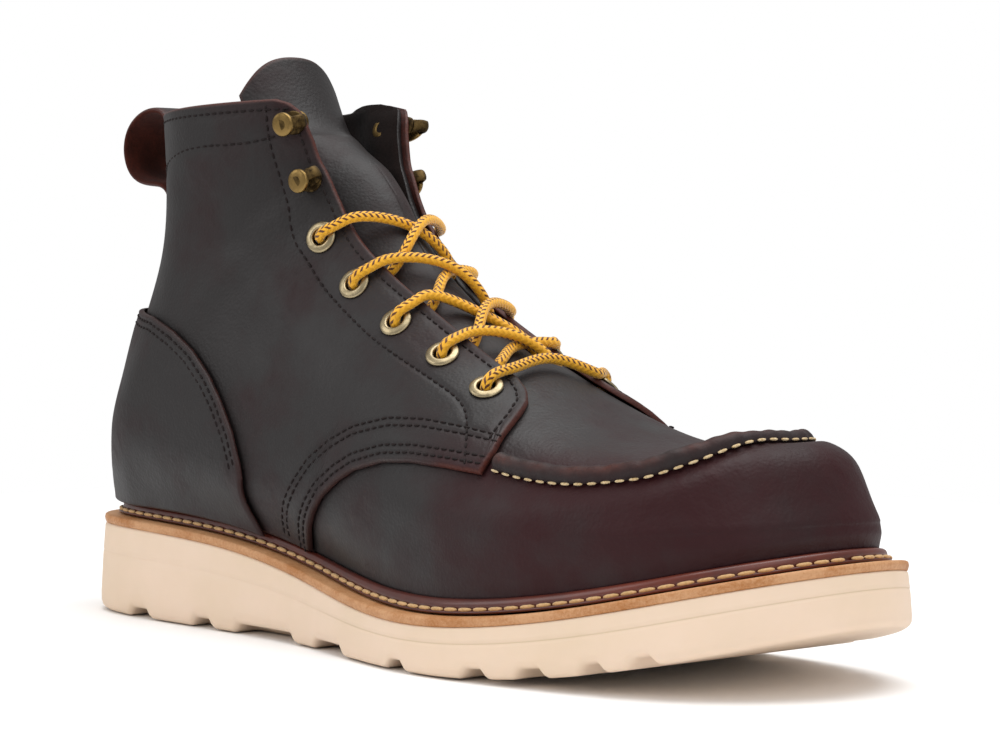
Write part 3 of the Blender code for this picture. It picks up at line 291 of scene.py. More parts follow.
def sole_curve(inset, count=OUTLINE_POINTS):
    """Points round the sole's outline, moved inwards by inset, from the heel by the outer side to the toe."""
    size = np.array([SOLE_LENGTH, BALL_WIDTH])
    corners = np.column_stack([column(SOLE_OUTLINE, "along"), column(SOLE_OUTLINE, "across")]) * size
    ring = np.vstack([corners[-OUTLINE_WRAP:], corners, corners[: OUTLINE_WRAP + 1]])
    turns = np.arange(len(ring)) - OUTLINE_WRAP
    curve = natural_spline(turns, ring, np.linspace(0, len(corners), count, endpoint=False))
    run = np.roll(curve, -1, axis=0) - np.roll(curve, 1, axis=0)
    return curve + inset * unit(np.column_stack([-run[:, 1], run[:, 0]]))


@functools.cache
def feather_path(side):
    """The feather line on one side, from the toe's tip to the heel's back."""
    curve = sole_curve(FEATHER_INSET)
    ahead = curve[:, 0] > 0
    tip = np.argmin(np.abs(curve[:, 1] - TOE_POLE[1]) + FAR * ~ahead)
    heel = np.argmin(np.abs(curve[:, 1]) + FAR * ahead)
    curve = np.roll(curve, -tip, axis=0)
    heel = (heel - tip) % len(curve)
    if side == MEDIAL:
        path = curve[: heel + 1].copy()
    else:
        path = np.vstack([curve[heel:], curve[:1]])[::-1].copy()
    path[0, 1] = TOE_POLE[1]
    path[-1, 1] = 0.0
    return path


def along_path(path, share):
    """Points at shares of a flat path's length, and the direction of the path there."""
    reach = reach_along(path)
    goal = np.asarray(share) * reach[-1]
    step = TANGENT_STEP * reach[-1]
    behind, here, ahead = (read_columns(goal + move, reach, path) for move in (-step, 0.0, step))
    return here, unit(ahead - behind)


def outwards_of(run, side, share):
    """The flat outward direction beside a path, straight ahead at the toe's tip."""
    out = np.column_stack([run[:, 1], -run[:, 0]]) * side
    out[np.asarray(share) == 0] = (1.0, 0.0)
    return out


def top_line(station):
    """The top line: it stays at the pole through the toe, then runs up the instep to the tongue's top."""
    ahead = (2 * TOE_POLE[0] - BODY_SECTIONS[0].top_x, TOE_POLE[1], TOE_POLE[2] + TOP_AHEAD)
    points = [ahead, TOE_POLE] + [(row.top_x, row.top_y, row.top_z) for row in BODY_SECTIONS]
    pole_station = TOE_SECTIONS[-1].station
    knots = np.append([pole_station - 1, pole_station], column(BODY_SECTIONS, "station"))
    return natural_spline(knots, points, np.maximum(station, pole_station))


def widest_points(side):
    """The widest point of each section: outside the feather line in the toe, and from the table behind it."""
    girth = column(TOE_SECTIONS, "girth")
    point, run = along_path(feather_path(side), girth)
    outwards = outwards_of(run, side, girth)
    bulge = column(TOE_SECTIONS, "bulge")[:, None]
    toe = np.column_stack([point + outwards * bulge, column(TOE_SECTIONS, "wide_z")])
    across = column(BODY_SECTIONS, "medial" if side == MEDIAL else "lateral") * side
    body = np.column_stack([column(BODY_SECTIONS, "wide_x"), across, column(BODY_SECTIONS, "wide_z")])
    return np.vstack([toe, body])


def section_ends(side, station):
    """Where each section ends: on the feather line as far as the heel, and on the back line above it."""
    rows = TOE_SECTIONS + BODY_SECTIONS
    path = feather_path(side)
    girth = monotone_spline(column(rows, "station"), column(rows, "girth"), station)
    point, run = along_path(path, girth)
    outwards = outwards_of(run, side, girth)
    end = np.column_stack([point, wedge_top(point[:, 0]) + FEATHER_RISE])
    heel_z = float(wedge_top(path[-1, 0])) + FEATHER_RISE
    stations = np.append([HEEL_STATION - 1, HEEL_STATION], column(BACK_LINE, "station"))
    line_z = np.append(heel_z, column(BACK_LINE, "z"))
    line_x = np.append(path[-1, 0], column(BACK_LINE, "x"))
    back_z = monotone_spline(stations, np.append(heel_z, line_z), station)
    back_x = natural_spline(line_z, line_x, back_z)
    above = station > HEEL_STATION
    end[above] = np.column_stack([back_x, np.zeros(len(back_z)), back_z])[above]
    outwards[above] = (-1.0, 0.0)
    return end, outwards


@functools.cache
def control_rows(side):
    """Six Bezier points for each table row: top line, roof, shoulder, widest point, flank and lift."""
    rows = TOE_SECTIONS + BODY_SECTIONS
    station = column(rows, "station")
    before = len(TOE_SECTIONS)
    top = top_line(station)
    wide = widest_points(side)
    end, outwards = section_ends(side, station)
    behind_toe = np.clip(station - TOE_SECTIONS[-1].station, 0, 1)
    up = top - end
    up[:, 1] = 0.0
    up[:, 0] *= behind_toe
    up = unit(up)
    spread = wide - top
    spread[:, 0] *= 1 - behind_toe
    spread[:, 2] = POLE_SLOPE * spread[:, 0]
    rise = ((top - wide) * up).sum(axis=1)[:, None]
    drop = ((wide - end) * up).sum(axis=1)[:, None]
    roof = top + column(rows, "roof")[:, None] * spread
    shoulder = wide + column(rows, "shoulder")[:, None] * rise * up
    shoulder[:before, :2] -= column(TOE_SECTIONS, "lean")[:, None] * (wide - top)[:before, :2]
    lift = np.append(np.full(before, BODY_SECTIONS[0].lift), column(BODY_SECTIONS, "lift"))[:, None]
    lifted = end + lift * np.column_stack([outwards * LIFT_LEAN, np.ones(len(station))])
    lifted[before:, 1] += column(BODY_SECTIONS, "across") * side
    return np.stack([top, roof, shoulder, wide, wide - FLANK * drop * up, lifted], 1)


def section_controls(side, station):
    """Seven Bezier points for each section, on smooth curves through the rows that run on round the toe."""
    rows = column(TOE_SECTIONS + BODY_SECTIONS, "station")
    beyond = slice(len(TOE_SECTIONS) - 1, 0, -1)
    knots = np.concatenate([-rows[beyond], rows])
    points = np.concatenate([control_rows(-side)[beyond], control_rows(side)])
    controls = natural_spline(knots, points, station).reshape(-1, 6, 3)
    controls[:, 0] = top_line(station)
    end = section_ends(side, station)[0]
    return np.concatenate([controls, end[:, None]], axis=1)


def bezier(points, t):
    """Points of cubic Bezier curves, one for each row of four control points."""
    t = t[:, None]
    start = (1 - t) ** 3 * points[:, 0] + 3 * (1 - t) ** 2 * t * points[:, 1]
    return start + 3 * (1 - t) * t**2 * points[:, 2] + t**3 * points[:, 3]


def form(side, station, share):
    """Points of the outer form: share 0 is the top line, 0.5 the widest line, 1 the section's end."""
    station, share = np.broadcast_arrays(np.asarray(station, float), np.asarray(share, float))
    controls = section_controls(side, station.ravel())
    t = share.ravel()
    upper = bezier(controls[:, :4], np.clip(2 * t, 0, 1))
    lower = bezier(controls[:, 3:], np.clip(2 * t - 1, 0, 1))
    return np.where((t <= 0.5)[:, None], upper, lower).reshape(station.shape + (3,))


def form_normal(side, station, share):
    """Outward unit normals of the form, from differences along the two parameters."""
    step = NORMAL_STEP
    t = np.maximum(share, 3 * step)
    ahead, behind = np.maximum(station - step, 0), np.minimum(station + step, TONGUE_TOP)
    along = form(side, behind, t) - form(side, ahead, t)
    down = form(side, station, np.minimum(t + step, 1)) - form(side, station, t - step)
    normal = unit(np.cross(down, along) * side)
    at_pole = (share == 0) & (station <= TOE_SECTIONS[-1].station)
    return np.where(at_pole[..., None], np.array([-POLE_SLOPE, 0, 1]), normal)


def skin(side, station, share, offset):
    """The form moved outwards by offset.  Both sides share their normals in the middle, so that they meet."""
    station, share = np.broadcast_arrays(np.asarray(station, float), np.asarray(share, float))
    normal = form_normal(side, station, share)
    shared = unit(normal + form_normal(-side, station, share))
    middle = (station == 0) | (share == 0) | ((share == 1) & (station >= HEEL_STATION))
    normal = np.where(middle[..., None], shared, normal)
    return form(side, station, share) + np.asarray(offset)[..., None] * normal


def first_share(side, station, measure):
    """The first share of each section where measure turns positive, and 1 where it never does."""
    shares = np.linspace(0, 1, SHARE_POINTS)
    station = np.asarray(station, float)
    value = measure(form(side, station[:, None], shares[None, :]), station[:, None])
    found = value > 0
    k = np.maximum(found.argmax(axis=1), 1)
    rows = np.arange(len(station))
    before, after = value[rows, k - 1], value[rows, k]
    part = np.clip(-before / (after - before), 0, 1)
    share = shares[k - 1] + part * (shares[k] - shares[k - 1])
    return np.where(found.any(axis=1), share, 1.0)


def throat_half(station):
    return np.interp(station, column(THROAT, "station"), column(THROAT, "half"))


def throat_edge(side, station, wider=0.0):
    """Share where the eyestay's front edge lies."""
    return first_share(side, station, lambda points, at: np.abs(points[..., 1]) - throat_half(at) - wider)


def below_line(line):
    def measure(points, at):
        return np.interp(points[..., 0], column(line, "x"), column(line, "z")) - points[..., 2]
    return measure


def bead_edge(side, station, above=2 * GAP):
    """Share where a panel meets the welt's bead, or lies this far above the bead's top."""
    rise = FEATHER_RISE + WELT_BEAD + above
    return first_share(side, station, lambda points, at: wedge_top(points[..., 0]) + rise - points[..., 2])


def inside_stay(points, at):
    return np.where(points[..., 0] < STAY_AHEAD, STAY_HALF - np.abs(points[..., 1]), -1.0)


# Stitch rows seen on the quarters, as places on the form
Place = namedtuple("Place", "station share")
EYESTAY_ROW = [
    Place(17.90, 0.300), Place(16.90, 0.295), Place(15.50, 0.270), Place(13.43, 0.235), Place(11.10, 0.220),
    Place(9.97, 0.225), Place(9.03, 0.230), Place(8.17, 0.230), Place(7.43, 0.220), Place(6.83, 0.215),
    Place(6.37, 0.230), Place(6.07, 0.290), Place(5.90, 0.345),
]
COLLAR_ROW = [
    Place(17.03, 0.215), Place(17.05, 0.305), Place(17.30, 0.430), Place(17.40, 0.570), Place(17.30, 0.80),
    Place(17.25, 0.95),
]

# How far stitch rows lie inside the throat's and collar's edge, the quarter's lower edge and the counter's edge
EDGE_ROW, QUARTER_ROWS, COUNTER_ROWS = 3.2, (2.6, 5.0, 11.0, 13.4), (2.3, 4.5)

# Soft troughs pressed into the leather, seen from the side: a line, the trough's width and its depth
Crease = namedtuple("Crease", "side x0 z0 x1 z1 width depth")
CREASES = [
    Crease(LATERAL, -96, 139, -74, 128, 5.0, 0.7), Crease(LATERAL, -92, 124, -62, 118, 6.0, 0.6),
    Crease(LATERAL, -50, 112, -30, 99, 5.0, 0.6), Crease(LATERAL, -36, 96, -10, 82, 6.0, 0.5),
    Crease(LATERAL, -70, 96, -40, 84, 8.0, 0.6), Crease(LATERAL, 20, 40, 44, 34, 7.0, 0.4),
    Crease(MEDIAL, -90, 136, -66, 126, 5.0, 0.7), Crease(MEDIAL, -60, 104, -34, 92, 7.0, 0.6),
    Crease(MEDIAL, -30, 92, -6, 80, 6.0, 0.5),
]

# Stations where the lace passes over the far eyestay's edge, for the eyelets from the top row down
LACE_CROSSINGS = (11.0, 9.1, 7.95, 6.97, 6.22)

EDGE_STEPS = np.array([0, 0.08, 0.2, 0.4, 0.7, 1.1, 1.7])
EDGE_ROUND = 1.0


def smooth(value, low, high):
    """0 below low, 1 above high and an S-curve between them."""
    part = np.clip((value - low) / (high - low), 0, 1)
    return part * part * (3 - 2 * part)


def eased(length, count):
    """Places from 0 to 1 along a width of length: fine steps for the rounded edges and even ones between."""
    rim = EDGE_STEPS / length
    inner = np.linspace(rim[-1] * 1.6, 1 - rim[-1] * 1.6, count)
    return np.concatenate([rim, inner, 1 - rim[::-1]])


def even_stations(side, first, last, share, count):
    """Stations from first to last that lie evenly along the form's line at one share, finer at both ends."""
    dense = np.linspace(first, last, 400)
    line = form(side, dense, np.full(dense.shape, share))
    reach = reach_along(line)
    return np.interp(eased(reach[-1], count) * reach[-1], reach, dense)


def segment_distance(points, starts, ends):
    """Distance of each point from the nearest of the segments, a few hundred points at a time."""
    flat = points.reshape(-1, 3)
    run = ends - starts
    span = np.maximum((run * run).sum(axis=1), 1e-12)
    found = []
    for some in np.array_split(flat, max(1, len(flat) // 400)):
        away = some[:, None] - starts[None]
        part = np.clip((away * run).sum(axis=2) / span, 0, 1)
        found.append(np.sqrt(((away - part[..., None] * run) ** 2).sum(axis=2).min(axis=1)))
    return np.concatenate(found).reshape(points.shape[:-1])


def line_distance(points, line):
    return segment_distance(points, line[:-1], line[1:])


def rim_distance(grid, free):
    """Distance of each grid point from the grid's free border, whose points free marks."""
    rows, columns = grid.shape[:2]
    index = np.arange(rows * columns).reshape(rows, columns)
    ring = np.concatenate([index[0, :-1], index[:-1, -1], index[-1, :0:-1], index[:0:-1, 0]])
    ahead = np.roll(ring, -1)
    kept = free.ravel()[ring] & free.ravel()[ahead]
    flat = grid.reshape(-1, 3)
    return segment_distance(grid, flat[ring[kept]], flat[ahead[kept]])


def rounded(distance, radius=EDGE_ROUND):
    """Height share of a rounded cut edge: a quarter circle from 0 at the edge to 1 a radius inside it."""
    part = np.clip(distance / radius, 0, 1)
    return np.sqrt(1 - (1 - part) ** 2)


def crease_relief(side, points):
    """Depth of the listed troughs: each is a bell across its line and fades towards its ends."""
    relief = np.zeros(points.shape[:-1])
    for crease in CREASES:
        if crease.side != side:
            continue
        start = np.array([crease.x0, crease.z0], float)
        run = np.array([crease.x1, crease.z1], float) - start
        away = points[..., [0, 2]] - start
        part = (away @ run) / (run @ run)
        across = np.abs(away[..., 0] * run[1] - away[..., 1] * run[0]) / np.linalg.norm(run)
        fade = smooth(part, -0.25, 0.35) * (1 - smooth(part, 0.65, 1.25))
        relief -= crease.depth * fade * np.exp(-((across / crease.width) ** 2))
    return relief


Patch = namedtuple("Patch", "grid flip finish marks uv", defaults=(0, None, None))


def patch_mesh(name, patches, weld=2e-5):
    """One mesh from patches: grids of points in millimetres whose edges weld where they meet.

    Each patch brings its flip, its material's number, its marks and its uv.  Marks are numbers at the points,
    kept as attributes.
    """
    points, faces, finish, uvs, base = [], [], [], [], 0
    words = sorted({word for patch in patches for word in (patch.marks or {})})
    marks = {word: [] for word in words}
    for patch in patches:
        rows, columns = patch.grid.shape[:2]
        index = np.arange(rows * columns).reshape(rows, columns) + base
        quads = np.stack([index[:-1, :-1], index[1:, :-1], index[1:, 1:], index[:-1, 1:]], -1).reshape(-1, 4)
        faces.append(quads[:, ::-1] if patch.flip else quads)
        finish.append(np.full(len(quads), patch.finish))
        points.append(patch.grid.reshape(-1, 3) * MM)
        uvs.append(np.zeros((rows * columns, 2)) if patch.uv is None else patch.uv.reshape(-1, 2))
        for word in words:
            value = (patch.marks or {}).get(word, 0.0)
            marks[word].append(np.broadcast_to(value, (rows, columns)).ravel())
        base += rows * columns
    points, faces, uvs = np.vstack(points), np.vstack(faces), np.vstack(uvs)
    mesh = bpy.data.meshes.new(name)
    mesh.vertices.add(len(points))
    mesh.loops.add(faces.size)
    mesh.polygons.add(len(faces))
    mesh.vertices.foreach_set("co", points.ravel())
    mesh.loops.foreach_set("vertex_index", faces.ravel().astype(np.int32))
    mesh.polygons.foreach_set("loop_start", np.arange(0, faces.size, 4, dtype=np.int32))
    mesh.polygons.foreach_set("material_index", np.concatenate(finish).astype(np.int32))
    mesh.update(calc_edges=True)
    if any(patch.uv is not None for patch in patches):
        mesh.uv_layers.new(name="UVMap").data.foreach_set("uv", uvs[faces.ravel()].ravel())
    for word in words:
        layer = mesh.attributes.new(word, "FLOAT", "POINT")
        layer.data.foreach_set("value", np.concatenate(marks[word]).astype(np.float32))
    model = bmesh.new()
    model.from_mesh(mesh)
    bmesh.ops.remove_doubles(model, verts=model.verts, dist=weld)
    bmesh.ops.dissolve_degenerate(model, dist=1e-7, edges=model.edges)
    model.to_mesh(mesh)
    model.free()
    mesh.shade_smooth()
    return mesh


def add_piece(mesh, kinds, slot, *nodes):
    """Put a mesh in the scene as a piece of its name that rides on the boot and stands for the named solids."""
    obj = bpy.data.objects.new(mesh.name, mesh)
    for kind in kinds:
        mesh.materials.append(finishes()[kind])
    bpy.context.scene.collection.objects.link(obj)
    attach(obj, "root")
    if nodes:
        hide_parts(*nodes)
    return obj


def linear(code):
    """An sRGB hex colour as linear red, green and blue."""
    value = np.array([int(code[i : i + 2], 16) for i in (0, 2, 4)]) / 255
    return tuple(np.where(value <= 0.04045, value / 12.92, ((value + 0.055) / 1.055) ** 2.4))


def add_node(tree, kind, inputs=(), out=0, **settings):
    """Add a shader node with its settings and give one of its outputs, or the node itself where out is None.

    inputs pairs each socket with a value, or with another node's output to link.
    """
    new = tree.nodes.new("ShaderNode" + kind)
    for key, value in settings.items():
        setattr(new, key, value)
    for key, value in dict(inputs).items():
        if isinstance(value, bpy.types.NodeSocket):
            tree.links.new(value, new.inputs[key])
        else:
            new.inputs[key].default_value = value
    return new if out is None else new.outputs[out]


def per_mm(size):
    """Texture scale for a pattern of this size in millimetres on Object coordinates in metres."""
    return 1 / (size * MM)


def start_material(name, **values):
    """A new material with its Principled shader's own sockets set, and its node tree."""
    material = bpy.data.materials.new(name)
    material.use_nodes = True
    for key, value in values.items():
        material.node_tree.nodes["Principled BSDF"].inputs[key.replace("_", " ")].default_value = value
    return material, material.node_tree


def linked(material, **outputs):
    """The material, with nodes' outputs linked to its Principled shader's sockets."""
    tree = material.node_tree
    for key, value in outputs.items():
        tree.links.new(value, tree.nodes["Principled BSDF"].inputs[key.replace("_", " ")])
    return material


def oiled_leather(name, colour, warm, raw, roughness):
    """Oil-tanned pull-up leather: a fine pebbled grain, blotches where the oil moved, reddish cut edges.

    The marks on the mesh say where an edge is cut raw, where the tone is warm, and where painted shade turns the
    leather near black inside an eyelet's hole.
    """
    material, tree = start_material(name)
    place = add_node(tree, "TexCoord", out="Object")
    blotch = add_node(
        tree, "TexNoise", [("Vector", place), ("Scale", per_mm(28)), ("Detail", 4.0), ("Roughness", 0.6)]
    )
    warmth = add_node(tree, "Attribute", attribute_name="warm", out="Fac")
    cut = add_node(tree, "Attribute", attribute_name="raw", out="Fac")
    # The hole mark says where painted shade goes: the shade inside the eyelets' holes.
    hole = add_node(tree, "Attribute", attribute_name="hole", out="Fac")
    spread = add_node(tree, "MapRange", [(0, blotch), (1, 0.35), (2, 0.7), (3, -0.25), (4, 0.35)])
    amount = add_node(tree, "Math", [(0, warmth), (1, spread)], operation="ADD", use_clamp=True)
    tone = add_node(tree, "Mix", [(0, amount), (6, (*colour, 1)), (7, (*warm, 1))], data_type="RGBA", out=2)
    fuzz = add_node(
        tree, "TexNoise", [("Vector", place), ("Scale", per_mm(1.1)), ("Detail", 5.0), ("Roughness", 0.7)]
    )
    ragged = add_node(tree, "MapRange", [(0, fuzz), (1, 0.25), (2, 0.7), (3, 0.35), (4, 1.25)])
    worn = add_node(tree, "Math", [(0, cut), (1, ragged)], operation="MULTIPLY", use_clamp=True)
    edged = add_node(tree, "Mix", [(0, worn), (6, tone), (7, (*raw, 1))], data_type="RGBA", out=2)
    # Painted shade: where the hole mark is set, the colour goes near black, standing in for the shade down an
    # eyelet's hole.
    dark = add_node(
        tree, "Mix", [(0, hole), (6, edged), (7, (0.002, 0.0015, 0.0015, 1))], data_type="RGBA", out=2
    )
    shine = add_node(tree, "MapRange", [(0, amount), (3, 0.34), (4, 0.2)])
    pebble = add_node(
        tree, "TexVoronoi",
        [("Vector", place), ("Scale", per_mm(0.9)), ("Randomness", 1.0)], feature="SMOOTH_F1",
    )
    pull = add_node(
        tree, "TexNoise", [("Vector", place), ("Scale", per_mm(5.0)), ("Detail", 6.0), ("Roughness", 0.62)]
    )
    wrinkle = add_node(
        tree, "TexWave",
        [
            ("Vector", place), ("Scale", per_mm(22)), ("Distortion", 9.0), ("Detail", 4.0),
            ("Detail Scale", 1.6),
        ],
        bands_direction="DIAGONAL", out="Fac",
    )
    sparse = add_node(tree, "MapRange", [(0, blotch), (1, 0.5), (2, 0.68), (3, 0.0), (4, 2.5)])
    grain = add_node(tree, "Math", [(0, pull), (1, 2.2), (2, pebble)], operation="MULTIPLY_ADD")
    height = add_node(tree, "Math", [(0, wrinkle), (1, sparse), (2, grain)], operation="MULTIPLY_ADD")
    bump = add_node(tree, "Bump", [("Strength", 0.34), ("Distance", 0.25 * MM), ("Height", height)])
    gloss = add_node(
        tree, "MapRange", [(0, blotch), (1, 0.3), (2, 0.7), (3, roughness - 0.07), (4, roughness + 0.09)]
    )
    return linked(material, Base_Color=dark, Specular_IOR_Level=shine, Normal=bump, Roughness=gloss)


def napped_leather(name, colour, pale):
    """The flesh side of leather and split lining: a dull short nap, paler where its fibres are brushed up."""
    material, tree = start_material(name, Roughness=0.92, Specular_IOR_Level=0.08, Sheen_Weight=0.03)
    place = add_node(tree, "TexCoord", out="Object")
    nap = add_node(
        tree, "TexNoise", [("Vector", place), ("Scale", per_mm(0.8)), ("Detail", 6.0), ("Roughness", 0.75)]
    )
    brushed = add_node(tree, "TexNoise", [("Vector", place), ("Scale", per_mm(9)), ("Detail", 3.0)])
    mixed = add_node(tree, "Math", [(0, nap), (1, brushed)], operation="MULTIPLY")
    amount = add_node(tree, "MapRange", [(0, mixed), (1, 0.14), (2, 0.4)])
    tone = add_node(tree, "Mix", [(0, amount), (6, (*colour, 1)), (7, (*pale, 1))], data_type="RGBA", out=2)
    bump = add_node(tree, "Bump", [("Strength", 0.6), ("Distance", 0.4 * MM), ("Height", nap)])
    return linked(material, Base_Color=tone, Normal=bump)


def crepe_rubber(name, colour, shade):
    """Blown wedge rubber: matt and faintly mottled, with sanding marks and a darker line where it is marked."""
    material, tree = start_material(
        name, Roughness=0.62, Specular_IOR_Level=0.35,
        Subsurface_Weight=0.06, Subsurface_Radius=(0.004, 0.0025, 0.0015), Subsurface_Scale=1.0,
    )
    place = add_node(tree, "TexCoord", out="Object")
    cloud = add_node(
        tree, "TexNoise", [("Vector", place), ("Scale", per_mm(34)), ("Detail", 4.0), ("Roughness", 0.55)]
    )
    seam = add_node(tree, "Attribute", attribute_name="seam", out="Fac")
    fade = add_node(tree, "MapRange", [(0, cloud), (1, 0.35), (2, 0.75), (3, 0.0), (4, 0.4)])
    amount = add_node(tree, "Math", [(0, seam), (1, fade)], operation="ADD", use_clamp=True)
    tone = add_node(tree, "Mix", [(0, amount), (6, (*colour, 1)), (7, (*shade, 1))], data_type="RGBA", out=2)
    flat = add_node(tree, "Mapping", [("Vector", place), ("Scale", (0.25, 0.25, 1.6))])
    sanded = add_node(
        tree, "TexNoise", [("Vector", flat), ("Scale", per_mm(1.0)), ("Detail", 3.0), ("Roughness", 0.6)]
    )
    bump = add_node(tree, "Bump", [("Strength", 0.18), ("Distance", 0.15 * MM), ("Height", sanded)])
    return linked(material, Base_Color=tone, Normal=bump)


def sole_leather(name, colour, shade):
    """Vegetable-tanned sole leather with a trimmed edge: short fibres show as fine flecks."""
    material, tree = start_material(name, Roughness=0.6, Specular_IOR_Level=0.4)
    place = add_node(tree, "TexCoord", out="Object")
    fibre = add_node(
        tree, "TexNoise", [("Vector", place), ("Scale", per_mm(0.9)), ("Detail", 5.0), ("Roughness", 0.72)]
    )
    cloud = add_node(tree, "TexNoise", [("Vector", place), ("Scale", per_mm(12)), ("Detail", 3.0)])
    mixed = add_node(tree, "Math", [(0, fibre), (1, cloud)], operation="ADD")
    amount = add_node(tree, "MapRange", [(0, mixed), (1, 0.85), (2, 1.25)])
    tone = add_node(tree, "Mix", [(0, amount), (6, (*colour, 1)), (7, (*shade, 1))], data_type="RGBA", out=2)
    bump = add_node(tree, "Bump", [("Strength", 0.4), ("Distance", 0.3 * MM), ("Height", fibre)])
    return linked(material, Base_Color=tone, Normal=bump)


def waxed_welt(name, colour, pale):
    """Dyed and burnished welt leather: smooth and half glossy, rubbed lighter and redder in places."""
    material, tree = start_material(name, Roughness=0.36, Specular_IOR_Level=0.5, Coat_Weight=0.12)
    place = add_node(tree, "TexCoord", out="Object")
    rub = add_node(
        tree, "TexNoise", [("Vector", place), ("Scale", per_mm(16)), ("Detail", 5.0), ("Roughness", 0.6)]
    )
    ahead = add_node(tree, "Attribute", attribute_name="warm", out="Fac")
    cloud = add_node(tree, "MapRange", [(0, rub), (1, 0.35), (2, 0.75), (3, -0.2), (4, 0.55)])
    amount = add_node(tree, "Math", [(0, ahead), (1, cloud)], operation="ADD", use_clamp=True)
    tone = add_node(tree, "Mix", [(0, amount), (6, (*colour, 1)), (7, (*pale, 1))], data_type="RGBA", out=2)
    return linked(material, Base_Color=tone)


def spun_thread(name, colour, shade, roughness, sheen):
    """Waxed thread: uneven strands show as fine flecks, drawn coarser than life so that they show."""
    material, tree = start_material(name, Roughness=roughness, Specular_IOR_Level=0.2, Sheen_Weight=sheen)
    place = add_node(tree, "TexCoord", out="Object")
    twist = add_node(
        tree, "TexNoise", [("Vector", place), ("Scale", per_mm(0.7)), ("Detail", 3.0), ("Roughness", 0.6)]
    )
    amount = add_node(tree, "MapRange", [(0, twist), (1, 0.35), (2, 0.7)])
    tone = add_node(tree, "Mix", [(0, amount), (6, (*colour, 1)), (7, (*shade, 1))], data_type="RGBA", out=2)
    bump = add_node(tree, "Bump", [("Strength", 0.5), ("Distance", 0.2 * MM), ("Height", twist)])
    return linked(material, Base_Color=tone, Normal=bump)


def antique_brass(name, bright, dark):
    """Pressed brass with an antique finish: tarnish lies in soft clouds, rubbed places are smoother, and the hole
    mark paints shade darker inside holes, under flanges and on the hooks' bases and necks.
    """
    material, tree = start_material(name, Metallic=1.0)
    place = add_node(tree, "TexCoord", out="Object")
    cloud = add_node(
        tree, "TexNoise", [("Vector", place), ("Scale", per_mm(2.6)), ("Detail", 5.0), ("Roughness", 0.6)]
    )
    # Painted shade: the hole mark darkens the brass towards the tarnish colour where shade falls on it.
    shadowed = add_node(tree, "Attribute", attribute_name="hole", out="Fac")
    patchy = add_node(tree, "MapRange", [(0, cloud), (1, 0.45), (2, 0.8), (3, 0.0), (4, 0.6)])
    amount = add_node(tree, "Math", [(0, shadowed), (1, patchy)], operation="ADD", use_clamp=True)
    tone = add_node(tree, "Mix", [(0, amount), (6, (*bright, 1)), (7, (*dark, 1))], data_type="RGBA", out=2)
    gloss = add_node(tree, "MapRange", [(0, amount), (3, 0.34), (4, 0.6)])
    return linked(material, Base_Color=tone, Roughness=gloss)


def braided_cord(name, colour, fleck, shade):
    """Round braided polyester: gold strands plaited at a slant, and brown tracers that show as rows of flecks.
    Painted shade darkens each strand towards the folds between strands.

    The UV map runs in plait lengths along the cord and once round it, so the plait follows every bend.
    """
    material, tree = start_material(name, Roughness=0.55, Sheen_Weight=0.2, Specular_IOR_Level=0.4)
    uv = add_node(tree, "UVMap", uv_map="UVMap")
    split = add_node(tree, "SeparateXYZ", [(0, uv)], out=None)
    along, around = split.outputs[0], split.outputs[1]
    round8 = add_node(tree, "Math", [(0, around), (1, 8.0)], operation="MULTIPLY")
    cell = add_node(tree, "Math", [(0, round8)], operation="FRACT")
    strand_no = add_node(tree, "Math", [(0, round8)], operation="FLOOR")
    odd = add_node(tree, "Math", [(0, strand_no), (1, 2.0)], operation="FLOORED_MODULO")
    lean = add_node(tree, "MapRange", [(0, odd), (3, 0.55), (4, -0.55)])
    slant = add_node(tree, "Math", [(0, cell), (1, lean), (2, along)], operation="MULTIPLY_ADD")
    beat = add_node(tree, "Math", [(0, slant)], operation="FRACT")
    tri = add_node(tree, "MapRange", [(0, beat), (3, -1.0), (4, 1.0)])
    ridge = add_node(tree, "Math", [(0, tri)], operation="ABSOLUTE")
    tracer = add_node(tree, "Math", [(0, strand_no), (1, 4.0)], operation="FLOORED_MODULO")
    marked = add_node(tree, "Math", [(0, tracer), (1, 1.5)], operation="LESS_THAN")
    flecked = add_node(tree, "MapRange", [(0, beat), (1, 0.54), (2, 0.64)])
    brown = add_node(tree, "Math", [(0, flecked), (1, marked)], operation="MULTIPLY")
    # Painted shade: each strand turns towards the darker gold at its edges, in the plait's folds.
    painted_fold_shade = add_node(tree, "MapRange", [(0, ridge), (1, 0.6), (2, 1.0), (3, 0.0), (4, 0.6)])
    gold = add_node(tree, "Mix", [(0, painted_fold_shade), (6, (*colour, 1)), (7, (*shade, 1))], data_type="RGBA", out=2)
    tone = add_node(tree, "Mix", [(0, brown), (6, gold), (7, (*fleck, 1))], data_type="RGBA", out=2)
    bump = add_node(
        tree, "Bump", [("Strength", 0.6), ("Distance", 0.25 * MM), ("Height", ridge)], invert=True
    )
    return linked(material, Base_Color=tone, Normal=bump)


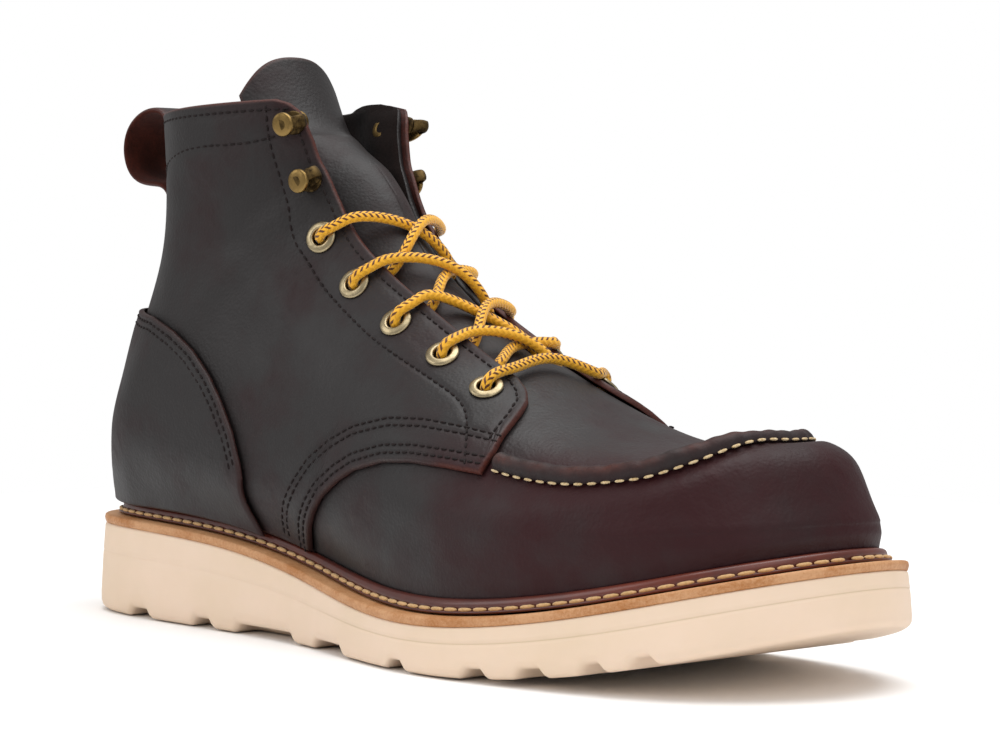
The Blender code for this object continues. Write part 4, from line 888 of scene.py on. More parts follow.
@functools.cache
def finishes():
    """Every material of the boot, made once from the colours in the sidebar."""
    tint = bpy.context.scene.boot_colours
    return {
        "vamp": oiled_leather("vamp_oiled_leather", tint.leather, tint.leather_warm, tint.raw_edge, 0.5),
        "quarter": oiled_leather(
            "quarter_oiled_leather", tint.leather, tint.leather_warm, tint.raw_edge, 0.52
        ),
        "ridge": oiled_leather("rolled_seam_leather", tint.leather, tint.leather_warm, tint.scuff, 0.58),
        # The lining's colours are partly the leather's own dark tone and partly painted shade from inside the
        # boot.
        "nap": napped_leather("lining_split_leather", tint.lining, tint.lining_pale),
        "flesh": napped_leather("strap_flesh_side", tint.flesh, tint.raw_edge),
        "rubber": crepe_rubber("cream_wedge_rubber", tint.rubber, tint.rubber_shade),
        "sole": sole_leather("tan_sole_leather", tint.tan, tint.tan_shade),
        "welt": waxed_welt("burnished_welt_leather", tint.welt, tint.welt_warm),
        "footbed": sole_leather("footbed_leather", tint.footbed, tint.tan_shade),
        "cream": spun_thread("cream_waxed_thread", tint.cream_thread, tint.cream_shade, 0.6, 0.15),
        "tan_thread": spun_thread("tan_waxed_thread", tint.welt_thread, tint.cream_shade, 0.6, 0.15),
        "dark": spun_thread("dark_waxed_thread", tint.dark_thread, tint.leather, 0.75, 0.0),
        "brass": antique_brass("antique_brass", tint.brass, tint.brass_tarnish_and_shade),
        "hook": antique_brass("hook_antique_brass", tint.hook_brass, tint.brass_tarnish_and_shade),
        "lace": braided_cord("braided_lace", tint.lace, tint.lace_fleck, tint.lace_shade),
    }


def warm_tone(points):
    """Warm share of the leather: high on the toe's wall and low on the shaft, which is greyer."""
    ahead = smooth(points[..., 0], 10, 90)
    low = 1 - smooth(points[..., 2], 52, 76)
    return 0.05 + 0.85 * ahead * low


def seam_share(station):
    """Share of the moc seam at a station that is negative on the lateral side."""
    share = natural_spline(column(MOC_SEAM, "station"), column(MOC_SEAM, "share"), station)
    return share.reshape(np.shape(station))


@functools.cache
def moc_line(count):
    """The moc seam from its lateral to its medial end: points, normals, ways across it and reach."""
    station = np.linspace(MOC_SEAM[0].station, MOC_SEAM[-1].station, 2 * count - 1)
    share, at, lateral = seam_share(station), np.abs(station), (station < 0)[:, None]
    flat, raised = (
        np.where(lateral, *(skin(side, at, share, np.full(len(at), lift)) for side in (LATERAL, MEDIAL)))
        for lift in (0.0, 1.0)
    )
    reach = reach_along(flat)
    even = np.linspace(0, reach[-1], 2 * count)
    path, normal = (read_columns(even, reach, values) for values in (flat, raised - flat))
    normal = unit(normal)
    return path, normal, unit(np.cross(np.gradient(path, axis=0), normal)), even


# The inner flap's bend: its depth, where it is full and fades behind the edge, and the heights it grows between
FLARE, FLARE_FULL, FLARE_FADE, FLARE_RISE = 8.0, 12.0, (14.0, 42.0), (117.0, 146.0)
FLAP_AHEAD, FLAP_OUT = np.array([0.81, -0.58]), np.array([0.58, 0.81])

# The toe's bulge and softened turn: height, share where it lies and width in share
Swell = namedtuple("Swell", "height share width")
TOE_BULGE, TOE_TURN = Swell(1.7, 0.41, 0.06), Swell(-0.7, 0.5, 0.09)


def flared(mesh):
    """Turn the inner flap's open edge outwards: the leather behind it sinks by a bump that fades back and down."""
    flat = np.empty(3 * len(mesh.vertices), np.float32)
    mesh.vertices.foreach_get("co", flat)
    points = flat.reshape(-1, 3).astype(float) / MM
    station, share = throat_line(MEDIAL)
    edge = form(MEDIAL, station, share)[station > 10]
    front = read_columns(points[:, 2], edge[:, 2], edge[:, :2])
    behind = (front - points[:, :2]) @ FLAP_AHEAD
    dent = np.sin(math.pi / 2 * np.clip(behind / FLARE_FULL, 0, 1)) * (1 - smooth(behind, *FLARE_FADE))
    dent = dent * smooth(points[:, 2], *FLARE_RISE) * (points[:, 1] > 0)
    points[:, :2] -= FLARE * dent[:, None] * FLAP_OUT
    mesh.vertices.foreach_set("co", (points * MM).astype(np.float32).ravel())
    mesh.update()
    return mesh


def toe_swell(station, share, seam):
    """Bulge of the toe's leather between its seam and its widest line, and a softened turn on that line."""
    bulge, turn = (
        swell.height * np.exp(-(((share - swell.share) / swell.width) ** 2)) for swell in (TOE_BULGE, TOE_TURN)
    )
    return (bulge * smooth(share - seam, 0.04, 0.12) + turn) * (1 - smooth(station, 2.0, 5.5))


def build_vamp():
    """Vamp, apron and lining: the form from the throat's edge to the feather line, with a wall given inwards.

    The apron sinks along the rolled seam by a bell of the distance from it, and creases sink as soft troughs.
    """
    front = even_stations(LATERAL, 0, THROAT_STATION, 0.5, 120)
    behind = np.linspace(THROAT_STATION, 18.0, 90)[1:]
    stations = np.concatenate([front[EDGE_STEPS.size - 1 :], behind])
    stations = np.concatenate([[0.0], stations[stations > 0.02]])
    ahead = stations <= THROAT_STATION
    seam = moc_line(160)[0]
    patches = []
    for side, edge in upper_edges(stations).items():
        wall = edge[:, None] + (1 - edge)[:, None] * np.linspace(0, 1, 70)
        roof = edge[ahead, None] * np.linspace(0, 1, 22)
        for rows, share in ((stations, wall), (stations[ahead], roof)):
            rows = np.broadcast_to(rows[:, None], share.shape)
            place = form(side, rows, share)
            line = seam_share(side * rows)
            near = line_distance(place, seam)
            inside = 1.5 * smooth(line - share, -0.01, 0.03) * np.exp(-((near / 7.0) ** 2))
            outside = 0.35 * smooth(share - line, 0.0, 0.03) * np.exp(-(((near - 3.4) / 1.4) ** 2))
            sink = -(inside + outside) * (1 - smooth(rows, 5.6, 6.2))
            grid = skin(side, rows, share, sink + toe_swell(rows, share, line) + crease_relief(side, place))
            warm = warm_tone(place) + 0.2 * np.exp(-((near / 9) ** 2))
            patches.append(Patch(grid, side == MEDIAL, 0, {"warm": warm}))
    mesh = flared(patch_mesh("vamp_and_lining", patches))
    obj = add_piece(mesh, ["vamp", "nap"], "vamp", "upper")
    wall = obj.modifiers.new("wall", "SOLIDIFY")
    wall.thickness = UPPER_WALL * MM
    wall.offset = -1.0
    wall.use_quality_normals = True
    wall.material_offset = 1
    wall.material_offset_rim = 0
    return obj


def upper_edges(stations):
    """Share of the throat's edge for each side.  The two agree at the toe, where their grids meet."""
    at = np.maximum(stations, THROAT_STATION)
    edges = {side: throat_edge(side, at, wider=GAP) for side in (LATERAL, MEDIAL)}
    mean = (edges[LATERAL] + edges[MEDIAL]) / 2
    blend = np.clip(stations / THROAT_STATION, 0, 1)
    return {side: mean + (edge - mean) * blend for side, edge in edges.items()}


def foot_points(side, points, station, share):
    """Station and share of the form's points nearest to the given ones, by a few Newton steps from a guess."""
    step = 0.01
    for _ in range(6):
        here = form(side, station, share)
        along = (form(side, station + step, share) - form(side, station - step, share)) / (2 * step)
        down = (form(side, station, share + step) - form(side, station, share - step)) / (2 * step)
        miss = points - here
        a, b, c = (along * along).sum(-1), (along * down).sum(-1), (down * down).sum(-1)
        p, q = (miss * along).sum(-1), (miss * down).sum(-1)
        det = np.maximum(a * c - b * b, 1e-9)
        station = np.clip(station + np.clip((c * p - b * q) / det, -0.6, 0.6), 0.05, 18.9)
        share = np.clip(share + np.clip((a * q - b * p) / det, -0.08, 0.08), 0.02, 0.98)
    return station, share


def beside(side, station, share, away):
    """The row that runs away millimetres inside an edge: the edge moved across itself and set on the form."""
    edge = form(side, station, share)
    inward = unit(np.cross(np.gradient(edge, axis=0), form_normal(side, station, share)))
    return foot_points(side, edge + away * inward, station, share)


def quarter_edge_line(side):
    """The quarter's lower edge from its front tip to the welt, as stations and shares."""
    station = np.linspace(5.72, 9.3, 240)
    share = first_share(side, station, below_line(QUARTER_EDGE))
    kept = share < bead_edge(side, station) - 0.004
    return station[kept], share[kept]


def counter_edge_line(side):
    """The counter's upper edge from the welt to the back seam, as stations and shares."""
    station = np.linspace(9.2, 15.3, 300)
    share = first_share(side, station, below_line(COUNTER_EDGE))
    kept = share < np.minimum(bead_edge(side, station) - 0.004, 0.985)
    return station[kept], share[kept]


def throat_line(side):
    station = np.concatenate([np.linspace(5.72, 6.4, 60), np.linspace(6.45, 17.9, 200)])
    return station, throat_edge(side, station)


def table_line(table, count=260):
    """A row given by a table of places, smoothed with a spline."""
    turns = np.arange(len(table))
    read = natural_spline(turns, np.array(table, float), np.linspace(0, turns[-1], count))
    return read[:, 0], read[:, 1]


@functools.cache
def quarter_rows(side):
    """Every stitch row of a quarter: two by the eyestay, two by the collar and four over the lower edge."""
    share = np.linspace(0.235, 0.97, 200)
    below_collar = form(side, np.full(share.shape, 18.0), share) - np.array([0, 0, EDGE_ROW])
    rows = [beside(side, *throat_line(side), EDGE_ROW * side), table_line(EYESTAY_ROW), table_line(COLLAR_ROW)]
    rows.append(foot_points(side, below_collar, np.full(share.shape, 17.9), share))
    edge = quarter_edge_line(side)
    return rows + [beside(side, *edge, -away * side) for away in QUARTER_ROWS]


def counter_rows(side):
    return [beside(side, *counter_edge_line(side), away * side) for away in COUNTER_ROWS]


def row_lines(side, rows):
    return [form(side, *row) for row in rows]


def panel(side, rows, start, end, columns, base, wall, free_end=True, relief=0.0, marks=None):
    """A leather panel as two grids, outer and inner, that meet at its free edges.

    Stations run along the rows and shares from start to end.  The outer grid stands wall above the inner one,
    times a quarter circle of the distance from the free edge, so that the cut edges are rounded.
    """
    share = start[:, None] + (end - start)[:, None] * columns
    station = np.broadcast_to(np.asarray(rows, float)[:, None], share.shape)
    inner = skin(side, station, share, np.full(share.shape, base))
    free = np.ones(share.shape, bool)
    if not free_end:
        free[1:-1, -1] = end[1:-1] < 1
    distance = rim_distance(inner, free)
    place = form(side, station, share)
    extra = relief(place, distance) if callable(relief) else relief
    outer = skin(side, station, share, base + wall * rounded(distance) + extra * smooth(distance, 0.0, 2.0))
    raw = (1 - smooth(distance, 0.15, 1.1)) * bareness(place)
    made = {"raw": raw, "warm": warm_tone(place) + 0.2 * (1 - smooth(distance, 0.5, 6.0))}
    made.update(marks(place) if marks else {})
    flip = side == MEDIAL
    return [Patch(outer, flip, 0, made), Patch(inner, not flip, 0, {"raw": 0.6, "warm": 0.3})]


def bareness(points):
    """How raw a cut edge looks: bare along the throat, collar and quarter's front, dyed over lower down."""
    above = -below_line(QUARTER_EDGE)(points, None)
    x, z = points[..., 0], points[..., 2]
    return 0.2 + 0.8 * np.maximum(smooth(above, 3, 8) * smooth(z + 0.5 * x, 50, 75), smooth(x, 36, 44))


def furrows(lines, places, depth=0.35, width=0.9):
    """Depth of the channels that stitch rows press into the leather, and of the eyelets' holes."""
    def relief(points, distance):
        sunk = np.zeros(points.shape[:-1])
        for line in lines:
            sunk = np.minimum(sunk, -depth * np.exp(-((line_distance(points, line) / width) ** 2)))
        for place in places:
            away = np.linalg.norm(points - place, axis=-1)
            sunk = np.minimum(sunk, -1.7 * (1 - smooth(away, 2.7, 3.9)))
        return sunk
    return relief


def eyelet_places(side):
    return [form(side, np.array([row.station]), np.array([row.share]))[0] for row in EYELETS]


def build_quarter(side, word):
    """One quarter with its eyestay: a panel from the throat's edge back to the middle of the heel."""
    stations = even_stations(side, THROAT[0].station + 0.002, 18.0, 0.3, 150)
    start = throat_edge(side, stations)
    end = np.minimum(first_share(side, stations, below_line(QUARTER_EDGE)), bead_edge(side, stations))
    end = np.maximum(end, start + 0.002)
    end = np.where(stations > HEEL_STATION, np.minimum(end, 0.9985), end)
    lines = row_lines(side, quarter_rows(side))
    places = eyelet_places(side)
    sunk = furrows(lines, places)

    def relief(points, distance):
        return sunk(points, distance) + crease_relief(side, points)

    # Painted shade: the leather within each eyelet's hole is marked to be painted near black, as the shade down
    # the hole.
    def marks(points):
        away = np.min([np.linalg.norm(points - place, axis=-1) for place in places], axis=0)
        return {"hole": 1 - smooth(away, 2.6, 3.4)}

    columns = eased(95.0, 96)
    patches = panel(side, stations, start, end, columns, QUARTER_BASE, QUARTER_WALL, True, relief, marks)
    mesh = flared(patch_mesh(f"quarter_leather_{word}", patches))
    return add_piece(mesh, ["quarter"], "quarter", f"quarter_{word}")


def build_counter():
    """The heel counter: one panel round the back whose two halves meet on the back line."""
    patches = []
    for side in (LATERAL, MEDIAL):
        stations = even_stations(side, 9.13, 15.5, 0.75, 110)
        end = bead_edge(side, stations)
        start = np.minimum(first_share(side, stations, below_line(COUNTER_EDGE)), end - 0.0005)
        sunk = furrows(row_lines(side, counter_rows(side)), [])
        patches += panel(side, stations, start, end, eased(80.0, 70), COUNTER_BASE, COUNTER_WALL, False, sunk)
    mesh = patch_mesh("heel_counter_leather", patches)
    return add_piece(mesh, ["quarter"], "quarter", "heel_counter")


def build_backstay():
    """The strip over the back seam from the counter to the collar."""
    rim = EDGE_STEPS / STAY_HALF
    columns = np.concatenate([rim, np.linspace(rim[-1] * 1.4, 1, 10)])
    patches = []
    for side in (LATERAL, MEDIAL):
        stations = np.linspace(STAY_STATIONS[0], STAY_STATIONS[-1], 60)
        start = first_share(side, stations, inside_stay)
        end = np.ones(len(stations))
        patches += panel(side, stations, start, end, columns, COUNTER_BASE, STAY_WALL, False)
    mesh = patch_mesh("backstay_strip", patches)
    return add_piece(mesh, ["quarter"], "quarter", "backstay")


def build_pull_loop():
    """The pull loop: a rounded strap section carried along the loop's line, fleshy on its inside."""
    line = np.array(LOOP_LINE, float)
    turns = np.arange(len(line))
    read = natural_spline(turns, line, np.linspace(0, turns[-1], 90))
    path = np.column_stack([read[:, 0], np.zeros(len(read)), read[:, 1]])
    across = np.array([0.0, 1.0, 0.0])
    run = unit(np.gradient(path, axis=0))
    up = unit(np.cross(run, across))
    reach = np.linspace(0, 1, len(path))
    angle = np.linspace(0, 2 * math.pi, 49)
    flat = np.sign(np.cos(angle)) * np.abs(np.cos(angle)) ** 0.22
    thick = np.sign(np.sin(angle)) * np.abs(np.sin(angle)) ** 0.5
    end = np.minimum(rounded(reach, 0.02), rounded(1 - reach, 0.02))[:, None]
    width = LOOP_HALF * (1 - 0.06 * np.sin(math.pi * reach))[:, None] * (0.9 + 0.1 * end)
    grid = path[:, None] + (width * flat)[..., None] * across
    grid = grid + (LOOP_WALL / 2 * end * thick)[..., None] * up[:, None]
    rim = np.broadcast_to(np.abs(flat) ** 8, grid.shape[:2])
    inside = thick > 0.02
    split = int(np.argmax(~inside[1:])) + 1
    marks = {"raw": 0.8 * rim, "warm": 0.5 + 0 * rim}
    whole = [
        Patch(grid[:, : split + 1], True, 1, {k: v[:, : split + 1] for k, v in marks.items()}),
        Patch(grid[:, split:], True, 0, {k: v[:, split:] for k, v in marks.items()}),
    ]
    mesh = patch_mesh("pull_loop_strap", whole)
    return add_piece(mesh, ["quarter", "flesh"], "quarter", "pull_loop")


def tongue_half(side, rows, halves, offset):
    """Half the tongue: it follows the throat under the eyestays, then falls back inside the shaft."""
    top = TONGUE_TOP - TONGUE_TOP_ROUND * halves**TONGUE_TOP_POWER
    station = TONGUE_START + (top[None, :] - TONGUE_START) * rows[:, None]
    flat = station.ravel()
    under = throat_half(flat) + TONGUE_TUCK
    under = np.where(flat > LEAN_STATION, np.minimum(under, TONGUE_TOP_HALF), under)
    reach = first_share(side, flat, lambda points, at: np.abs(points[..., 1]) - under[:, None])
    share = reach.reshape(station.shape) * halves[None, :]
    grid = skin(side, station, share, offset)
    lean = np.clip((station - LEAN_STATION) / (TONGUE_TOP - LEAN_STATION), 0, 1) ** LEAN_POWER * TONGUE_LEAN
    return grid + lean[..., None] * np.array(LEAN_WAY)


def build_tongue():
    """The tongue as two grids, outer and inner, that meet along its rounded free edge."""
    rows = eased(150.0, 110)
    halves = np.concatenate([np.linspace(0, 0.93, 30), 1 - EDGE_STEPS[::-1] / 28.0])
    patches = []
    for side in (LATERAL, MEDIAL):
        shape = (len(rows), len(halves))
        inner = tongue_half(side, rows, halves, np.full(shape, TONGUE_BASE))
        free = np.ones(shape, bool)
        free[1:-1, 0] = False
        distance = rim_distance(inner, free)
        outer = tongue_half(side, rows, halves, TONGUE_BASE + TONGUE_WALL * rounded(distance))
        flip = side == MEDIAL
        marks = {"raw": 0.7 * (1 - smooth(distance, 0.2, 1.4)), "warm": 0.12 + 0 * distance}
        patches += [Patch(outer, flip, 0, marks), Patch(inner, not flip, 1, None)]
    mesh = patch_mesh("tongue_leather", patches)
    return add_piece(mesh, ["quarter", "nap"], "tongue", "tongue")


def build_moc_seam():
    """The rolled seam: a rounded profile carried round the apron, drawn in at every stitch, with a rubbed top.

    Sines of unlike lengths along the roll make its height and its crest waver.
    """
    pitch = bpy.context.scene.boot_sizes.moc_pitch / MM
    path, normal, across, reach = moc_line(420)
    pull = 1 - 0.08 * (0.5 + 0.5 * np.cos(2 * math.pi * reach / pitch))
    ends = np.minimum(rounded(reach, 2.0), rounded(reach[-1] - reach, 2.0))
    wave = 1 + 0.05 * np.sin(reach / 7.1) + 0.05 * np.sin(reach / 2.3 + 1.0) + 0.04 * np.sin(reach / 0.9)
    angle = np.linspace(0, 2 * math.pi, 33)
    out = 0.9 * SEAM_WIDTH / 2 * np.cos(angle)[None] * (pull * ends)[:, None]
    lift = np.where(np.sin(angle) > 0, np.sin(angle) ** 0.8, 0.25 * np.sin(angle)) * (SEAM_HEIGHT - 0.3)
    up = 0.35 + lift[None] * (wave * ends)[:, None]
    grid = path[:, None] + out[..., None] * across[:, None] + up[..., None] * normal[:, None]
    crest = np.exp(-(((angle - 0.45 * math.pi) / 0.55) ** 2))
    rubbed = 0.4 + 0.3 * np.sin(reach / 5.3) * np.sin(reach / 2.9 + 0.6)
    marks = {"raw": crest[None] * rubbed[:, None], "warm": 0.25 + 0 * out}
    mesh = patch_mesh("rolled_moc_seam", [Patch(grid, True, 0, marks)])
    return add_piece(mesh, ["ridge"], "seam", "moc_seam")


def capsules(centre, along, normal, length, radius, squash=1.0):
    """Points of the stitches along a row: six rings for each, which make a capsule with round ends."""
    turn = np.linspace(0, 2 * math.pi, 8)
    place = np.array([-1.0, -0.86, -0.45, 0.45, 0.86, 1.0])
    girth = np.array([0.02, 0.62, 1.0, 1.0, 0.62, 0.02])
    side = unit(np.cross(along, normal))
    lift = unit(np.cross(side, along))
    shape = (len(centre), len(place), len(turn), 3)
    points = np.broadcast_to(centre[:, None, None], shape)
    points = points + (place * length / 2)[None, :, None, None] * along[:, None, None]
    points = points + (radius * girth[:, None] * np.cos(turn))[None, ..., None] * side[:, None, None]
    points = points + (radius * squash * girth[:, None] * np.sin(turn))[None, ..., None] * lift[:, None, None]
    return points


def row_stitches(line, normal, pitch):
    """Centres, directions and normals of the stitches along a line, spaced by pitch."""
    reach = reach_along(line)
    at = np.arange(pitch / 2, reach[-1], pitch)
    behind, here, ahead = (read_columns(at + move, reach, line) for move in (-0.6, 0.0, 0.6))
    return here, unit(ahead - behind), unit(read_columns(at, reach, normal))


def stitch_mesh(name, sets):
    """One mesh of many capsules, made from whole arrays: each has the same faces with its own numbers."""
    points = np.concatenate([s.reshape(-1, s.shape[1] * s.shape[2], 3) for s in sets])
    rings, turns = sets[0].shape[1:3]
    index = np.arange(rings * turns).reshape(rings, turns)
    ahead = np.roll(index[:, :-1], -1, axis=1)
    quads = np.stack([index[:-1, :-1], ahead[:-1], ahead[1:], index[1:, :-1]], -1).reshape(-1, 4)
    caps = [index[0, -2::-1], index[-1, :-1]]
    base = np.arange(len(points))[:, None, None] * rings * turns
    quads = (quads[None] + base).reshape(-1, 4)
    ends = [(cap[None] + base[:, 0]) for cap in caps]
    mesh = bpy.data.meshes.new(name)
    faces = quads.tolist() + ends[0].tolist() + ends[1].tolist()
    mesh.from_pydata((points.reshape(-1, 3) * MM).tolist(), [], faces)
    model = bmesh.new()
    model.from_mesh(mesh)
    loose = [vert for vert in model.verts if not vert.link_faces]
    bmesh.ops.delete(model, geom=loose, context="VERTS")
    bmesh.ops.recalc_face_normals(model, faces=model.faces)
    model.to_mesh(mesh)
    model.free()
    mesh.shade_smooth()
    return mesh


def build_moc_stitches():
    """Cream stitches tucked under the rolled seam's outer side, one for each pull of the roll."""
    pitch = bpy.context.scene.boot_sizes.moc_pitch / MM
    path, normal, across, _ = moc_line(420)
    line = path + 2.95 * across + 0.42 * normal
    points = capsules(*row_stitches(line, normal, pitch), pitch * 0.68, 0.42)
    mesh = stitch_mesh("moc_seam_stitches", [points])
    return add_piece(mesh, ["cream"], "seam")


def build_tone_stitches():
    """Dark stitching of the quarters and the counter: short capsules half sunk along every row."""
    size = bpy.context.scene.boot_sizes
    pitch = size.stitch_pitch / MM
    radius = size.thread_diameter / MM / 2
    sets = []
    for side in (LATERAL, MEDIAL):
        rows = [(row, QUARTER_BASE + QUARTER_WALL) for row in quarter_rows(side)]
        rows += [(row, COUNTER_BASE + COUNTER_WALL) for row in counter_rows(side)]
        for (station, share), height in rows:
            line = skin(side, station, share, np.full(station.shape, height - 0.22))
            normal = form_normal(side, station, share)
            sets.append(capsules(*row_stitches(line, normal, pitch), pitch * 0.72, radius))
    mesh = flared(stitch_mesh("tone_stitching", sets))
    return add_piece(mesh, ["dark"], "quarter")


def ladder(inset, count):
    """Pairs of outline points at the same x, from the heel to the toe, on the curve moved in by inset."""
    curve = sole_curve(inset, 2880)
    back, tip = curve[:, 0].argmin(), curve[:, 0].argmax()
    curve = np.roll(curve, -back, axis=0)
    tip = (tip - back) % len(curve)
    outer = curve[: tip + 1]
    inner = np.vstack([curve[tip:], curve[:1]])[::-1]
    first, last = curve[0, 0], curve[tip, 0]
    x = (first + last) / 2 - (last - first) / 2 * np.cos(np.linspace(0, math.pi, count))
    return x, np.interp(x, outer[:, 0], outer[:, 1]), np.interp(x, inner[:, 0], inner[:, 1])


def lug_depth(x, inwards):
    """Height of the gaps between the lugs: full depth near the sole's edge, with rounded ends."""
    depth = np.zeros(np.broadcast(x, inwards).shape)
    for gap in LUG_GAPS:
        along = smooth(x, gap.start - 1.2, gap.start + 1.8) * (1 - smooth(x, gap.end - 1.8, gap.end + 1.2))
        depth = np.maximum(depth, LUG_DEPTH * along * (1 - smooth(inwards, LUG_REACH - 2.5, LUG_REACH + 1.0)))
    return depth


def stacked_rings(levels, count):
    """Rings of a sole layer: each level, an inset and a height function of x, gives a line on either side."""
    lateral, medial = [], []
    for inset, height in levels:
        x, outer, inner = ladder(inset, count)
        z = height(x)
        lateral.append(np.column_stack([x, outer, z]))
        medial.append(np.column_stack([x, inner, z]))
    return np.stack(lateral, axis=1), np.stack(medial, axis=1)


def layer_patches(levels, count, across, under=None, marks=None):
    """A sole layer closed from its rings: two walls, a top and an underside whose height under may add to."""
    lateral, medial = stacked_rings(levels, count)
    share = np.linspace(0, 1, across)[None, :, None]
    low = lateral[:, :1] + (medial[:, :1] - lateral[:, :1]) * share
    high = lateral[:, -1:] + (medial[:, -1:] - lateral[:, -1:]) * share
    if under is not None:
        low[..., 2] += under(low)
    walls = [Patch(wall, wall is lateral, 0, marks and marks(wall)) for wall in (lateral, medial)]
    return walls + [Patch(low, False), Patch(high, True)]


def build_outsole():
    """The wedge: rings from the tread's edge to the top, with gaps between lugs and a fine line in front."""
    parts = np.array([0, 0.02, 0.05, 0.1, 0.2, 0.34, 0.48, 0.6, 0.66, MOULD_LINE, 0.7, 0.78, 0.86, 0.93, 0.97, 1])
    inset = np.interp(
        parts, [0, 0.02, 0.05, 0.1, 0.2, 0.6, 0.93, 0.97, 1], [0.9, 0.1, -0.6, -1, -1.1, -0.6, 0, 0.1, 0.5]
    )
    line = parts == MOULD_LINE

    def height(part):
        def at(x):
            low = tread(x) + lug_depth(x, np.zeros(len(x))) * (1 - smooth(part, 0.15, 0.6))
            return low + (wedge_top(x) - low) * part
        return at

    def under(grid):
        inwards = np.minimum(grid[..., 1] - grid[:, :1, 1], grid[:, -1:, 1] - grid[..., 1])
        return lug_depth(grid[..., 0], inwards) - lug_depth(grid[..., 0], 0 * inwards)

    def marks(grid):
        return {"seam": 0.5 * line * smooth(grid[..., 0], -30, 20)}

    levels = [(inwards, height(part)) for part, inwards in zip(parts, inset + 0.2 * line)]
    patches = layer_patches(levels, 420, 64, under, marks)
    mesh = patch_mesh("wedge_outsole", patches)
    return add_piece(mesh, ["rubber"], "outsole", "outsole")


def build_midsole():
    """The tan leather midsole: a thin plate on the wedge with its trimmed edge barely rounded."""
    low, high = GAP, GAP + MIDSOLE_THICK
    steps = [(0.5, low - 0.25), (0.15, low + 0.15), (-0.1, (low + high) / 2), (0.1, high - 0.3), (0.5, high)]
    levels = [(inset, lambda x, rise=rise: wedge_top(x) + rise) for inset, rise in steps]
    mesh = patch_mesh("leather_midsole", layer_patches(levels, 260, 8))
    return add_piece(mesh, ["sole"], "midsole", "midsole")


# The welt's section: distances out from the feather line and up from its foot
WELT_PROFILE = [
    (0.3, 0.0), (2.0, 0.0), (3.9, 0.0), (4.0, 0.35), (3.9, 0.72), (3.5, 0.85), (3.0, 0.72), (2.7, 0.72),
    (2.62, 1.2), (2.6, 1.9), (2.4, 2.7), (2.0, 3.35), (1.4, 3.8), (0.8, 4.0), (0.2, 4.0), (0.1, 2.0),
    (0.3, 0.0),
]


def welt_path(side):
    """Foot and head of the welt at dense stations along the feather line, and the flat way outwards."""
    at = np.concatenate([np.linspace(0, 5, 90), np.linspace(5, HEEL_STATION, 190)[1:]])
    foot, outwards = section_ends(side, at)
    head = form(side, at, bead_edge(side, at, above=0.0))
    back = section_ends(side, np.linspace(HEEL_STATION, HEEL_STATION + 1, 41))[0]
    head[-1] = read_columns(foot[-1, 2] + WELT_BEAD, back[:, 2], back)
    return foot, head, np.column_stack([outwards, np.zeros(len(at))])


def welt_rings(profile):
    """Rings of a profile carried right round the feather line, as one closed loop."""
    halves = []
    for side in (LATERAL, MEDIAL):
        foot, head, outwards = welt_path(side)
        ring = np.stack(
            [foot + (head - foot) * (up / WELT_BEAD) + outwards * out for out, up in profile], axis=1
        )
        ring[..., 2] = wedge_top(ring[..., 0]) + FEATHER_RISE + np.array([up for out, up in profile])
        halves.append(ring)
    halves[1][0], halves[1][-1] = halves[0][0], halves[0][-1]
    return np.concatenate([halves[0], halves[1][::-1][1:]])


def build_welt():
    """The storm welt: a lip on the midsole, a groove for the stitches and a bead against the upper."""
    grid = welt_rings(WELT_PROFILE)
    marks = {"warm": 0.35 * smooth(grid[..., 0], 30, 120)}
    mesh = patch_mesh("storm_welt", [Patch(grid, False, 0, marks)])
    return add_piece(mesh, ["welt"], "welt", "welt")


def build_welt_stitches():
    """Tan lockstitches in the welt's groove, one thick stitch after another with a dip between them."""
    pitch = bpy.context.scene.boot_sizes.welt_pitch / MM
    line = welt_rings([(3.25, 1.15)])[:, 0]
    centre, along, up = row_stitches(line, np.broadcast_to([0.0, 0, 1], line.shape), pitch)
    mesh = stitch_mesh("welt_lockstitches", [capsules(centre, along, up, pitch * 0.9, 0.78, 0.8)])
    return add_piece(mesh, ["tan_thread"], "welt")


def seat(side, fitting, offset):
    """Place and axes of a fitting on the quarter: forward to the throat, across, and out from the leather."""
    station, share = np.array([fitting.station], float), np.array([fitting.share], float)
    place = skin(side, station, share, np.array([offset]))[0]
    out = form_normal(side, station, share)[0]
    forward = form(side, station, share - 0.05)[0] - form(side, station, share)[0]
    forward = unit(forward - out * (forward @ out))
    return place, forward, np.cross(out, forward), out


EYELET_PROFILE = [
    Rim(2.62, -1.6), Rim(2.62, 0.0), Rim(2.66, 0.45), Rim(2.85, 0.78), Rim(3.2, 0.92), Rim(3.6, 0.86),
    Rim(4.2, 0.72), Rim(4.7, 0.55), Rim(5.0, 0.25), Rim(5.02, 0.0), Rim(4.9, -0.25), Rim(2.9, -0.25),
    Rim(2.9, -1.6), Rim(2.62, -1.6),
]


def turned(place, axes, profile, steps):
    """A profile of radius and height turned once about the third axis at a place."""
    forward, across, out = axes
    turn = np.linspace(0, 2 * math.pi, steps + 1)
    radius, height = column(profile, "radius"), column(profile, "height")
    way = np.cos(turn)[:, None] * forward + np.sin(turn)[:, None] * across
    return place + radius[None, :, None] * way[:, None] + height[None, :, None] * out


